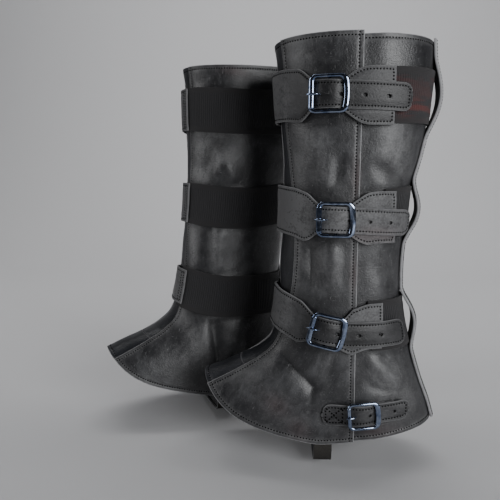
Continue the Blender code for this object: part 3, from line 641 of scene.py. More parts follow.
class Skin:
    """A material on the plain shader, with short calls for its nodes."""

    def __init__(self, name, **constants):
        self.name = name
        self.made = bpy.data.materials.new(name)
        self.made.use_nodes = True
        self.tree = self.made.node_tree
        self.shader = self.tree.nodes["Principled BSDF"]
        for key, value in constants.items():
            self.shader.inputs[key.replace("_", " ")].default_value = value

    def node(self, kind, inputs=(), **settings):
        made = self.tree.nodes.new("ShaderNode" + kind)
        for key, value in settings.items():
            setattr(made, key, value)
        for key, value in dict(inputs).items():
            if isinstance(value, bpy.types.NodeSocket):
                self.tree.links.new(value, made.inputs[key])
            else:
                made.inputs[key].default_value = value
        return made

    def wire(self, key, value):
        self.tree.links.new(value, self.shader.inputs[key])

    def attribute(self, name, output="Fac"):
        return self.node("Attribute", attribute_name=name).outputs[output]

    def math(self, operation, a, b, clamp=False):
        return self.node("Math", {0: a, 1: b}, operation=operation, use_clamp=clamp).outputs[0]

    def plus(self, a, b):
        return self.math("ADD", a, b)

    def times(self, a, b, clamp=False):
        return self.math("MULTIPLY", a, b, clamp)

    def mix(self, share, *colours):
        a, b = (c if isinstance(c, bpy.types.NodeSocket) else (*c, 1.0) for c in colours)
        return self.node("Mix", {0: share, 6: a, 7: b}, data_type="RGBA").outputs[2]

    def ramp(self, value, *stops):
        made = self.node("ValToRGB", {"Fac": value})
        elements = made.color_ramp.elements
        for _ in stops[2:]:
            elements.new(0.5)
        for element, (position, colour) in zip(elements, stops):
            element.position = position
            element.color = (*colour, 1.0)
        return made.outputs["Color"]

    def share(self, value, low, high, least=0.0):
        """From least to 1 while value goes from low to high."""
        grey = self.ramp(value, (low, (least,) * 3), (high, (1.0,) * 3))
        return self.node("SeparateColor", {"Color": grey}).outputs[0]

    def scaled(self, vector, *scale):
        return self.node("Mapping", {"Vector": vector, "Scale": scale}).outputs["Vector"]

    def noise(self, vector, scale, detail=4.0, roughness=0.55, distortion=0.0):
        return self.node("TexNoise", {"Vector": vector, "Scale": scale, "Detail": detail,
                                      "Roughness": roughness, "Distortion": distortion}).outputs["Fac"]

    def object_place(self):
        return self.node("TexCoord").outputs["Object"]

    def bump(self, strength, distance, height):
        made = self.node("Bump", {"Strength": strength, "Distance": distance, "Height": height})
        self.wire("Normal", made.outputs["Normal"])


def shade(colour, share):
    return tuple(c * share for c in colour)


def leather(name, dark, middle, light, rubbed_and_highlit, edge, rough, grain, specular=0.5):
    """Waxed leather: cloudy colour, worn areas with painted highlights, painted shade, fine scratches,
    pores and light cut edges with a painted highlight beside them.
    """
    skin = Skin(name, Specular_IOR_Level=specular)
    flat = skin.attribute("flat", "Vector")
    cloud = skin.noise(flat, 24.0, 6.0, 0.66, 0.6)
    mottle = skin.noise(skin.scaled(flat, 1.0, 0.55, 1.0), 150.0, 6.0, 0.7, 0.3)
    speck = skin.noise(flat, 520.0, 3.0, 0.6)
    blend = skin.plus(skin.times(cloud, 0.62), skin.times(mottle, 0.38))
    colour = skin.ramp(blend, (0.38, dark), (0.50, middle), (0.63, light))

    # Worn patches and painted highlights: toward the worn colour, broken up by mottle and speck.
    wear = skin.attribute("wear")
    broken = skin.share(skin.plus(skin.times(mottle, 0.55), skin.times(speck, 0.45)), 0.36, 0.62, 0.15)
    colour = skin.mix(skin.times(wear, broken, True), colour, rubbed_and_highlit)
    colour = skin.mix(skin.times(skin.attribute("red"), mottle, True), colour, (0.12, 0.022, 0.018))
    # Painted shade: toward half the dark colour in creases, beside the elastic, in stitch grooves and
    # on parts made darker all over.
    colour = skin.mix(skin.times(skin.attribute("dirt"), 0.75, True), colour, shade(dark, 0.5))
    lines = skin.math("MAXIMUM", skin.noise(skin.scaled(flat, 1.0, 7.0, 1.0), 210.0, 2.0, 0.5, 0.4),
                      skin.noise(skin.scaled(flat, 6.0, 1.0, 1.0), 170.0, 2.0, 0.5, 0.6))
    scratched = skin.share(lines, 0.66, 0.76)
    colour = skin.mix(skin.times(scratched, 0.5), colour, rubbed_and_highlit)
    # Cut edges in the light edge colour, which on the face beside them is a painted highlight.
    cut = skin.attribute("edge")
    cut_share = skin.times(cut, skin.plus(skin.times(mottle, 0.9), 0.35), True)
    skin.wire("Base Color", skin.mix(cut_share, colour, edge))

    roughness = skin.plus(skin.times(wear, 0.10), rough)
    roughness = skin.plus(roughness, skin.times(skin.math("SUBTRACT", blend, 0.5), 0.35))
    skin.wire("Roughness", skin.plus(roughness, skin.times(cut, 0.2)))

    pores = skin.node("TexVoronoi", {"Vector": flat, "Scale": 900.0},
                      feature="SMOOTH_F1").outputs["Distance"]
    height = skin.plus(skin.times(pores, 0.35 * grain), skin.times(speck, 0.5 * grain))
    height = skin.plus(height, skin.times(mottle, 1.0))
    skin.bump(0.55, 0.0006, skin.math("SUBTRACT", height, skin.times(scratched, 0.25)))
    return skin


def flesh_side(name):
    """The napped inner face of the leather."""
    skin = Skin(name, Roughness=0.92, Specular_IOR_Level=0.2)
    flat = skin.attribute("flat", "Vector")
    nap = skin.noise(flat, 700.0, 4.0, 0.7)
    cloud = skin.noise(flat, 60.0, 3.0)
    skin.wire("Base Color", skin.ramp(skin.plus(skin.times(nap, 0.5), skin.times(cloud, 0.5)),
                                      (0.35, (0.016, 0.015, 0.014)), (0.65, (0.040, 0.037, 0.034))))
    skin.bump(0.6, 0.0004, nap)
    return skin


def webbing(name, rib, selvage):
    """Elastic: yarns across the ribs, painted shade in the rib grooves, a flatter weave on the selvages
    and worn patches.
    """
    skin = Skin(name, Sheen_Weight=0.1, Sheen_Roughness=0.5, Specular_IOR_Level=0.25, Roughness=0.86)
    flat = skin.attribute("flat", "Vector")
    yarn = skin.node("TexWave", {"Vector": flat, "Scale": 260.0, "Distortion": 1.2, "Detail": 2.0,
                                 "Detail Scale": 2.0}, bands_direction="X").outputs["Fac"]
    fuzz = skin.noise(flat, 900.0, 3.0, 0.7)
    cloud = skin.noise(flat, 40.0, 4.0)
    colour = skin.mix(yarn, shade(rib, 0.6), rib)
    colour = skin.mix(skin.attribute("selvage"), colour, selvage)
    # Painted shade in the rib grooves, near black.
    colour = skin.mix(skin.times(skin.attribute("groove"), 1.3, True), colour, (0.0015,) * 3)
    colour = skin.mix(skin.times(fuzz, cloud, True), colour, shade(selvage, 1.5))
    streak = skin.share(skin.noise(skin.scaled(flat, 1.0, 0.12, 1.0), 260.0, 3.0, 0.6), 0.42, 0.60)
    skin.wire("Base Color", skin.mix(skin.times(skin.attribute("red"), streak, True), colour,
                                     (0.085, 0.030, 0.028)))
    skin.bump(0.6, 0.0003, skin.plus(skin.times(yarn, 0.8), fuzz))
    return skin


def steel(name):
    """Polished plating with a faint blue tint, small pits and fine rubbing."""
    skin = Skin(name, Metallic=1.0)
    place = skin.object_place()
    skin.wire("Base Color", skin.ramp(skin.noise(place, 160.0, 4.0, 0.6), (0.35, (0.12, 0.16, 0.26)),
                                      (0.65, (0.34, 0.40, 0.52))))
    skin.wire("Roughness", skin.plus(skin.times(skin.noise(place, 1500.0, 3.0, 0.6), 0.08), 0.04))
    return skin


def thread(name):
    skin = Skin(name, Roughness=0.8, Specular_IOR_Level=0.12)
    twist = skin.noise(skin.object_place(), 1400.0, 2.0)
    skin.wire("Base Color", skin.ramp(twist, (0.35, (0.0008, 0.0008, 0.0008)),
                                      (0.7, (0.0025, 0.0025, 0.003))))
    skin.bump(0.5, 0.0002, twist)
    return skin


PANEL = leather("panel_leather", (0.009, 0.009, 0.011), (0.021, 0.021, 0.023), (0.050, 0.051, 0.054),
                (0.150, 0.150, 0.152), (0.380, 0.380, 0.390), 0.40, 1.0, 0.6)
# The front and toe strips: a darker copy of the panel leather, painted shade.
SHADED_STRIP = leather("strip_leather", (0.002, 0.003, 0.005), (0.005, 0.006, 0.009), (0.013, 0.014, 0.018),
                (0.04, 0.04, 0.048), (0.14, 0.14, 0.15), 0.42, 0.7, 0.4)
STRAP = leather("strap_leather", (0.004, 0.004, 0.005), (0.011, 0.011, 0.013), (0.030, 0.030, 0.032),
                (0.105, 0.105, 0.108), (0.18, 0.18, 0.185), 0.47, 0.8)
FLESH = flesh_side("leather_flesh_side")
ELASTIC = webbing("elastic_webbing", (0.040, 0.040, 0.043), (0.024, 0.023, 0.024))
STEEL = steel("buckle_steel")
THREAD_BLACK = thread("black_thread")

# Worn patches and painted highlights, in the columns of FOLDS; the last one is its strength.
WEAR_AND_HIGHLIGHTS = (
    (1, 60, 396, 10, 26, 14, 0.6),
    (1, 52, 318, -16, 34, 12, 0.55),
    (1, 30, 290, 20, 24, 14, 0.55),
    (1, -26, 322, 8, 36, 18, 0.8),
    (1, 44, 214, 0, 34, 16, 0.45),
    (1, 22, 210, -6, 34, 6, 0.3),
    (1, 62, 214, 0, 30, 8, 0.35),
    (1, -20, 206, 30, 26, 14, 0.25),
    (1, 100, 80, 50, 34, 16, 0.25),
    (1, 42, 96, -10, 26, 8, 0.15),
    (1, 30, 118, -40, 18, 9, 0.2),
    (1, -24, 96, 50, 30, 16, 0.55),
    (1, -50, 70, 10, 26, 12, 0.3),
    (-1, 60, 330, -30, 24, 13, 1.4),
    (-1, 68, 292, 40, 16, 6, 1.4),
    (-1, 54, 306, -45, 22, 6, 1.3),
    (-1, 72, 225, 2, 38, 3, 1.6),
    (-1, 51, 225, 2, 38, 3.2, 1.5),
    (-1, 74, 108, 20, 26, 10, 0.6),
    (-1, 52, 108, -12, 26, 5, 0.7),
    (-1, 90, 80, 40, 24, 12, 0.35),
)
RED = (
    (-1, 38, 411, 80, 14, 5, 0.3),
    (1, 9, 290, 0, 20, 4, 0.25),
    (1, 9, 200, 0, 16, 4, 0.25),
    (1, 60, 44, 20, 12, 10, 0.15),
    (1, 82, 68, 60, 12, 10, 0.15),
    (1, -20, 44, 80, 20, 8, 0.15),
)


def rolling(points, size, height):
    """Slow unevenness of the leather, by noise at each point of a grid in mm."""
    values = [noise.noise(Vector(p)) for p in points.reshape(-1, 3) / size]
    return height * np.array(values).reshape(points.shape[:-1])


def rubs(points, seed, amount):
    return amount * np.clip(rolling(points + 40.0 * len(seed), 22.0, 0.5), 0, 1)


# ---- panels

ROLL = (34.0, 0.9)  # size and height of the leather's slow unevenness
RIPPLE = (13.0, 0.28)
CALM_EDGE = (6.0, 20.0)  # both set in over these distances from a panel's edge
SEAM_DEPTH = 0.35
SEAM_WIDTH = 0.9
RUBBED_WIDTH = 2.2  # of the rubbed ridge along a seam
ELASTIC_SHADE_WIDTH = 5.0  # of the painted shade beside the elastic


def panel(node, cover, turn, place, rise, stitched, skin=PANEL):
    """A panel of the cover. stitched names its sewn edges: left, right, top, bottom."""
    place = np.broadcast_to(place, turn.shape)
    fold = folds(turn, place)
    points = laid(turn, place, rise + fold, cover)
    lift = rolling(points + cover["forward"], *ROLL) + rolling(points - 50.0, *RIPPLE)
    across, along = lengths(points, 1), lengths(points)
    off = {"left": across, "right": across[:, -1:] - across, "top": along, "bottom": along[-1:] - along}
    lift = lift * ease_in(np.minimum.reduce(list(off.values())), CALM_EDGE)
    for belt in BELTS:
        lift = lift * ease((beside_belt(belt, points[..., 2], turn) + 2.0) / FOLD_CLEAR)
    valley, ridge, dirt = np.zeros((3, *turn.shape))
    for side in stitched:
        valley = np.maximum(valley, SEAM_DEPTH * bell(off[side], STITCH_LINE, SEAM_WIDTH))
        ridge = np.maximum(ridge, bell(off[side], STITCH_LINE, RUBBED_WIDTH))
    points = points + (lift - valley)[..., None] * normal(turn, place, cover)
    # Painted shade beside the elastic and in the crease valleys, less on the worn ridge along the
    # seams.
    for belt in BELTS:
        beside = np.clip(beside_belt(belt, points[..., 2], turn), 0, None)
        dirt = np.maximum(dirt, 0.7 * bell(beside, 0.0, ELASTIC_SHADE_WIDTH))
    dirt = np.clip(dirt + 0.9 * np.clip(-fold, 0, 3) / 3, 0, 1) * (1 - 0.6 * ridge)
    # Worn patches and painted highlights from the table, and the worn ridge along the seams.
    faces = shell(cover, node, points, LEATHER, skin, falling=turn[0, -1] < turn[0, 0],
                  wear=spots(WEAR_AND_HIGHLIGHTS, turn, place) + 0.45 * ridge, red=spots(RED, turn, place), dirt=dirt)
    ends = {"left": STITCH_COLUMN, "right": -1 - STITCH_COLUMN, "top": STITCH_COLUMN,
            "bottom": -1 - STITCH_COLUMN}
    for side in stitched:
        sew(cover, faces, (slice(None), ends[side]) if side in ("left", "right") else ends[side])


def strip_edge(place, lap=0.0):
    return turn_out(section_value("strip", place) + lap, place)


def inner_edge(place, lap=0.0):
    return -turn_out(section_value("inner", place) + lap, place)


def closure_edge(place, lap=0.0):
    return turn_forward(CLOSURE + lap, place)


def back_seam(place):
    return 180.0 - turn_out(SEAM, place)


def front_strips(cover):
    for node, start, end, stitched in (("front_strip", 0.0, CROSS_SEAM - CROSS_GAP, ("top",)),
                                       ("toe_strip", CROSS_SEAM + CROSS_GAP, HEM, ("bottom",))):
        place = place_rows(start, end)
        inner, outer = inner_edge(place), strip_edge(place)
        turn = by_length(inner_edge(place, LAP), strip_edge(place, LAP), place, cover, 2.4, NO_STEPS,
                         NO_STEPS)
        off = (2 * turn - (inner + outer)[:, None]) / (outer - inner)[:, None]
        crown = np.clip(1 - off ** 2, 0, 1)
        panel(node, cover, turn, place[:, None], UNDER + STRIP_CROWN * crown, stitched, SHADED_STRIP)


def side_panels(cover):
    place = place_rows(0.0, HEM)
    turn = by_length(strip_edge(place), closure_edge(place), place, cover, 2.1, EDGE_STEPS, EDGE_STEPS)
    panel("outer_front", cover, turn, place[:, None], 0.0, ("left", "right", "top", "bottom"))
    turn = by_length(inner_edge(place), -back_seam(place), place, cover, 2.3, EDGE_STEPS, NO_STEPS)
    panel("inner_panel", cover, turn, place[:, None], 0.0, ("left", "top", "bottom"))
    place = place_rows(REAR_DROP, HEM)
    turn = by_length(closure_edge(place, LAP), back_seam(place), place, cover, 2.1, NO_STEPS, NO_STEPS)
    behind = CLOSURE - smooth_form(turn, np.broadcast_to(place[:, None], turn.shape), STRAIGHT)[..., 0]
    rise = UNDER * (1 - ease(behind / LEVEL_OUT))
    panel("outer_rear", cover, turn, place[:, None], rise, ("top", "bottom"))


def back_strip(cover):
    place = place_rows(0.0, HEM, NO_STEPS)
    near = 180.0 - turn_out(BACK_STRIP + BACK_ASIDE, place)
    far = 180.0 + turn_out(BACK_STRIP - BACK_ASIDE, place)
    turn = by_length(near, far, place, cover, 2.0, STRAP_STEPS, STRAP_STEPS)
    place = np.broadcast_to(place[:, None], turn.shape)
    up = smooth_form(turn, place, cover)[..., 2]
    rise = np.full(up.shape, OVER) + folds(turn, place)
    for belt in BELTS:
        off = np.abs(up - belt["z_back"]) / belt["loop_half"]
        rise = rise + belt["loop"] * np.clip(1 - off ** 2, 0, 1) ** LOOP_POWER
    faces = shell(cover, "back_strip", laid(turn, place, rise, cover), BACK_LEATHER, PANEL, wear=0.25,
                  red=0.0, dirt=0.0)
    for column in (STRAP_COLUMN, -1 - STRAP_COLUMN):
        sew(cover, faces, (slice(None), column))


# ---- belts

HOLE = 1.6
HEM_HOLE = 1.4
HEM_HOLES = (-6.3, -30.3)
HOLE_DROP = -0.3  # of a strap's holes below its middle


def open_holes(forward, above, holes, radius):
    """Snaps a strap's grid to round holes. Returns the grid and which of its cells stay."""
    keep = np.ones((forward.shape[0] - 1, forward.shape[1] - 1), bool)
    for hole in holes:
        middle_x, middle_y = ((grid[:-1, :-1] + grid[1:, 1:] + grid[:-1, 1:] + grid[1:, :-1]) / 4
                              for grid in (forward, above))
        inside = np.hypot(middle_x - hole, middle_y - HOLE_DROP) < radius
        keep &= ~inside
        touched = np.zeros(forward.shape, bool)
        for dx in (0, 1):
            for dy in (0, 1):
                touched[dx:dx + inside.shape[0], dy:dy + inside.shape[1]] |= inside
        away_x, away_y = forward - hole, above - HOLE_DROP
        distance = np.maximum(np.hypot(away_x, away_y), 1e-6)
        forward = np.where(touched, hole + away_x / distance * radius, forward)
        above = np.where(touched, HOLE_DROP + away_y / distance * radius, above)
    return forward, above, keep


def tip_width(before_end, radius, width):
    """How wide a strap with a round end is, this far before the end."""
    off = np.clip(1 - before_end / radius, 0, 1)
    return width - 2 * radius * (1 - np.sqrt(np.clip(1 - off ** 2, 0, 1)))


def strap_rise(ahead):
    return soft_interp(ahead, *np.array(STRAP_PROFILE).T)


def seam_relief(above):
    """Valley, swell and worn ridge beside a strap's stitches, each 1 at most."""
    off = np.minimum(above - above[:, :1], above[:, -1:] - above)
    return bell(off, STRAP_LINE, 0.8), ease((off - 4.0) / 5.0), bell(off, STRAP_LINE, 1.6)


def level_line(start, end, middle, count):
    """Turns along a level line of the smooth form, its points and the length run along it."""
    fine = np.linspace(start, end, count)
    line = smooth_form(fine, np.full(count, float(middle)), STRAIGHT)
    return fine, line, lengths(line)


def belt_start(belt, lap=0.0):
    """Turn at which a belt starts on the front."""
    place = place_at(np.array(FRONT_TURN), np.array(belt["z_front"]), STRAIGHT)
    return float(turn_out(belt["wrap"] - lap, place))


def ring(cover, faces, first, last, closed=True):
    """Stitches along one edge, across the end and back along the other edge, or all round."""
    c = STRAP_COLUMN
    back = slice(last - 1, first - 1, -1)
    across = slice(-c - 2, c - 1, -1)
    lines = [(slice(first, last), c), (last, slice(c, -c - 1)), (back, -c - 1), (first, across)]
    sew(cover, faces, *lines[:4 if closed else 3])


def strap(cover, belt):
    """The front tab that narrows to the strap with its holes and ends in a round tip."""
    middle = place_at(np.array(90.0), np.array(belt["z_strap"]), STRAIGHT)
    fine, line, run = level_line(-belt_start(belt), float(turn_forward(belt["tip"], middle)), middle,
                                 400)
    turns = np.interp(spaced(run[-1], 1.5, STRAP_STEPS, TIP_STEPS), run, fine)
    forward = np.interp(turns, fine, line[:, 0])
    taper = ease_in(forward - belt["bar"], STRAP_TAPER)
    width = STRAP_WIDTH + (belt["tab"] - STRAP_WIDTH) * taper
    rounded = tip_width(forward - belt["tip"], TIP_ROUND, width)
    above = across_steps(np.where(turns > 45.0, np.maximum(rounded, 4.0), width))
    forward = np.broadcast_to(forward[:, None], above.shape)
    holes = [belt["tip"] + belt["hole"] + i * belt["pitch"] for i in range(3)]
    moved, above, keep = open_holes(forward, above, holes, HOLE)
    order = np.argsort(line[:, 0])
    turn = np.broadcast_to(turns[:, None], above.shape).copy()
    snapped = moved != forward
    turn[snapped] = np.interp(moved[snapped], line[order, 0], fine[order])
    ahead = np.where(turn > 30.0, moved - belt["bar"], np.maximum(moved - belt["bar"], 40.0))
    straight = strap_line(belt, belt["bar"] + ahead)
    up = straight + (belt_line(belt, turn) - straight) * ease_in(ahead, LINE_TAPER) + above
    rise = strap_rise(ahead)
    climb = TAB_CLIMB[0] - belt_start(belt, ELASTIC_LAP)
    over_elastic = ease((climb - turn) / TAB_CLIMB[1])
    rise = rise + (TAB_OVER_ELASTIC - rise) * over_elastic * (ahead > 0)
    valley, swell, ridge = seam_relief(above)
    valley = 0.3 * valley
    points = laid(turn, place_at(turn, up, cover), rise - valley + 0.35 * swell, cover)
    crease = bell(points[..., 1], 12.0, 1.3) * (ahead > 30.0)
    # Random worn patches and the worn ridge by the stitches; painted highlight over the front tab,
    # along its crease and over most of the middle strap.
    wear = (belt["rubbed_and_highlit"] + rubs(points, belt["name"], 0.7) + 1.3 * ease((ahead - 26.0) / 16.0)
            + 1.1 * crease + 0.4 * ridge)
    red = 0.2 * np.exp(-((moved - belt["tip"] - 30.0) / 16.0) ** 2 - ((above + 9.0) / 5.0) ** 2)
    # Painted shade in the stitch grooves; the upper and lower straps painted darker from the buckle to
    # the tip.
    faces = shell(cover, f"{belt['name']}_strap", points, STRAP_LEATHER, STRAP, keep, wear=wear,
                  dirt=valley * 0.5 + belt["dirt"] * (ahead < 24.0),
                  red=red * (belt["name"] == "middle"))
    ring(cover, faces, STRAP_COLUMN, len(points) - 6)
    sew(cover, faces, (STRAP_COLUMN + 3, slice(STRAP_COLUMN, -STRAP_COLUMN)))


def resample(profile, spacing):
    """Points along a profile at even distances, its corners rounded off."""
    profile = np.array(profile)
    run = lengths(profile[:, :2])
    at = np.linspace(0, run[-1], max(8, int(run[-1] / spacing)))
    made = np.stack([soft_interp(at, run, profile[:, i], 1.2 if i < 2 else 5.0) for i in range(3)],
                    axis=-1)
    made[0], made[-1] = profile[0], profile[-1]
    return made


def buckle_tab(cover, name, belt, line, widest, reach, shift):
    """Leather folded round the buckle's bar; its upper leaf flares out over the elastic."""
    profile = [row for row in FOLD_PROFILE if row[0] > reach] + [(reach, *FOLD_PROFILE[-1][1:])]
    ahead, rise, width = resample(profile, 1.2).T
    above = across_steps(np.minimum(width, widest))
    upper = np.arange(len(rise)) > len(rise) * 0.4
    first = int(np.argmax(upper & (ahead < -9.0)))
    upper = upper[:, None]
    ahead = np.broadcast_to(ahead[:, None], above.shape)
    tilt = math.atan(belt["slope"]) * (1 - ease_in(-ahead, TILT_FADES))
    forward = belt["bar"] + ahead - above * np.sin(tilt)
    up = line(belt["bar"] + ahead) + shift(ahead) + above * np.cos(tilt)
    valley, swell, ridge = seam_relief(above)
    valley = 0.25 * valley * upper
    turn, place = side_turn(forward, up, cover)
    points = laid(turn, place, rise[:, None] - valley + 0.3 * swell * upper, cover)
    # Evenly worn, painted highlight over the middle and lower flares, random worn patches and worn seam
    # ridges.
    wear = 0.35 + 0.7 * (name in ("middle", "lower")) + rubs(points, name, 0.9) + 0.4 * ridge * upper
    # Painted shade in the stitch grooves.
    faces = shell(cover, f"{name}_buckle_tab", points, FOLDED_LEATHER, STRAP, wear=wear,
                  dirt=valley * 0.5, red=0.2 * (name == "middle") * bell(above, -16.0, 8.0))
    if widest > 30.0:
        ring(cover, faces, first, len(rise) - 3, closed=False)


RIB = 2.4
RIB_WAVE = (1.0, 0.7, 0.0, 0.7)
RIB_DEPTH = 0.45
SELVAGE_DEPTH = 0.18
SELVAGE = 6.0
SELVAGE_STEPS = (0.0, 0.4, 1.4, 3.0, SELVAGE - 0.5, SELVAGE + 0.5, 9.0, 14.0, 19.0)


def elastic(cover, belt):
    """The ribbed band from under the front tab round the inner side and back to the flare."""
    middle = place_at(np.array(90.0), np.array(belt["z_side"]), STRAIGHT)
    end = 360.0 - float(turn_forward(belt["flare"] + ELASTIC_TUCK, middle))
    fine, _, run = level_line(-belt_start(belt, ELASTIC_LAP), -end, middle, 700)
    steps = int(run[-1] / RIB) * len(RIB_WAVE)
    turn = np.interp(run[-1] * np.arange(steps + 1) / steps, run, fine)
    half = belt["band"] / 2
    side = np.array(SELVAGE_STEPS)
    above = np.concatenate([-half + side, [0.0], half - side[::-1]])
    wave = np.array(RIB_WAVE)[np.arange(steps + 1) % len(RIB_WAVE)][:, None]
    inside = ease((half - np.abs(above) - SELVAGE + 0.5) / 1.0)[None, :]
    turn = np.broadcast_to(turn[:, None], (len(turn), len(above)))
    above = np.broadcast_to(above[None, :], turn.shape)
    place = place_at(turn, belt_line(belt, turn) + above, cover)
    drop = (RIB_DEPTH * (1 - wave) * inside
            + SELVAGE_DEPTH * bell(half - np.abs(above), SELVAGE, 0.9))
    points = laid(turn, place, OVER - drop, cover)
    red = 1.1 * (points[..., 1] > 0) * (bell(above, -11.0, 7.0) * ease((-20 - points[..., 0]) / 12)
                                        + 0.7 * bell(above, 14.0, 3.0) + 0.5 * bell(above, 3.0, 4.0))
    shell(cover, f"{belt['name']}_elastic", points, WEBBING, ELASTIC, falling=True,
          selvage=1 - inside, groove=(1 - wave) * inside, red=red * (belt["name"] == "upper"))


# ---- buckles

FRAME_THICK = 1.5  # half the thickness of the cast frame
FRAME_CORNER = 5.2
WINDOW_CORNER = 2.6
BAR_ROUND = 1.35
RING_STEPS = 96
STRAIGHT_SHARE = 0.32  # of a quarter's points, before and after its corner
CIRCLE = 2 * math.pi * np.arange(12) / 12
PRONG_CIRCLE = 2 * math.pi * np.arange(10) / 10


def rounded_loop(half_long, half_high, corner, bow):
    """Points round a rectangle with round corners whose rear end bows out."""
    share = np.arange(RING_STEPS // 4) / (RING_STEPS // 4)
    quarters = []
    for k, (sx, sy) in enumerate(((1, 1), (-1, 1), (-1, -1), (1, -1))):
        at = 1 - share if k % 2 else share
        arc = np.clip((at - STRAIGHT_SHARE) / (1 - 2 * STRAIGHT_SHARE), 0, 1) * math.pi / 2
        x = (half_long - corner) * np.minimum(1, (1 - at) / STRAIGHT_SHARE) + corner * np.cos(arc)
        y = (half_high - corner) * np.minimum(1, at / STRAIGHT_SHARE) + corner * np.sin(arc)
        if sx < 0:
            x = x + bow * (1 - (y / half_high) ** 2) * (x / half_long)
        quarters.append(np.stack([sx * x, sy * y], axis=-1))
    return np.concatenate(quarters)


def rod(x, across, z, thick):
    """Rings of a round rod over the strap, at its distances across."""
    return np.stack(np.broadcast_arrays(x + thick * np.cos(CIRCLE), across[:, None],
                                        z + thick * np.sin(CIRCLE)), axis=-1)


def steel_piece(cover, node, kind, points, faces):
    name = f"{cover['name']}_{node}_{kind}"
    mesh = new_mesh(name, to_row(points, cover).tolist(), faces)
    mesh.validate()
    work = bmesh.new()
    work.from_mesh(mesh)
    bmesh.ops.recalc_face_normals(work, faces=work.faces)
    if work.calc_volume(signed=True) < 0:
        bmesh.ops.reverse_faces(work, faces=work.faces)
    work.to_mesh(mesh)
    work.free()
    dress(add(name, mesh), (STEEL,), f"{cover['name']}_{node}")


def buckle(cover, name, size, belt, line):
    """A cast frame, round in section, over the strap, with a centre bar let down into the fold."""
    high, rail = size["height"], size["rail"]
    outer = rounded_loop(size["length"], high, FRAME_CORNER, size["bow"])
    window = rounded_loop((2 * size["length"] - size["front"] - size["rear"]) / 2, high - rail,
                          WINDOW_CORNER, size["bow"] * 0.9)
    window[:, 0] += (size["rear"] - size["front"]) / 2
    share = 0.5 - 0.5 * power(np.cos(CIRCLE), 0.8)
    flat = outer[:, None] + (window - outer)[:, None] * share[:, None]
    height = np.broadcast_to((FRAME_THICK * power(np.sin(CIRCLE), 0.75))[:, None], (*flat.shape[:2], 1))
    reach = np.linspace(-(high - rail * 0.6), high - rail * 0.6, 41)
    drop = (END_RISE - BAR_RISE) * (1 - ease((np.abs(reach) - high + rail + 1.2) / 2.6))
    roller = np.linspace(-(high - rail - 1.2), high - rail - 1.2, 21)
    tubes = (np.concatenate([flat, height], axis=-1), rod(0.0, reach, -drop[:, None], BAR_ROUND),
             rod(size["length"] - size["front"] / 2, roller, 0.2, size["roller"]))
    faces, start = [], 0
    for i, tube in enumerate(tubes):
        index = start + np.arange(tube.shape[0] * tube.shape[1]).reshape(tube.shape[:2])
        faces += tube_faces(index, closed=i == 0)
        start += index.size
    x, y, z = np.concatenate([tube.reshape(-1, 3) for tube in tubes]).T
    tilt = math.atan(belt["slope"])
    forward = belt["bar"] + x * math.cos(tilt) - y * math.sin(tilt)
    up = line(np.array(belt["bar"])) + x * math.sin(tilt) + y * math.cos(tilt)
    turn, place = side_turn(forward, up, cover)
    steel_piece(cover, f"{name}_buckle", "frame", laid(turn, place, z + END_RISE, cover), faces)


def prong(cover, name, belt, line):
    """The prong out of the strap's hole over the front bar."""
    profile = np.array(PRONG_PROFILE)
    fine = np.linspace(profile[0, 0] - 1.5, profile[-1, 0], 22)
    rise = soft_interp(fine, profile[:, 0], profile[:, 1], 1.5)
    rise = rise - 3.0 * ease((profile[0, 0] + 2.0 - fine) / 3.5)
    size = PRONG * (1 - 0.45 * ease((fine - profile[-1, 0] + 2.5) / 2.5))
    forward = belt["bar"] + fine
    turn, place = side_turn(forward, line(forward), cover)
    centre = laid(turn, place, rise, cover)
    out = normal(turn, place, cover)
    side = np.cross(out, unit(np.gradient(centre, axis=0)))
    points = (centre[:, None] + side[:, None] * (np.cos(PRONG_CIRCLE) * size[:, None])[..., None]
              + out[:, None] * (np.sin(PRONG_CIRCLE) * size[:, None])[..., None]).reshape(-1, 3)
    steel_piece(cover, f"{name}_prong", "wire", points,
                tube_faces(np.arange(len(points)).reshape(-1, len(PRONG_CIRCLE))))


def belt_sets(cover):
    for belt in BELTS:
        def line(forward, belt=belt):
            return strap_line(belt, forward)

        def shift(ahead, belt=belt):
            off = belt["z_side"] - strap_line(belt, belt["bar"] + ahead)
            return off * ease_in(-ahead, FLARE_SHIFT)

        elastic(cover, belt)
        strap(cover, belt)
        buckle_tab(cover, belt["name"], belt, line, belt["wide"], belt["flare"] - belt["bar"], shift)
        buckle(cover, belt["name"], BUCKLE, belt, line)
        prong(cover, belt["name"], belt, line)


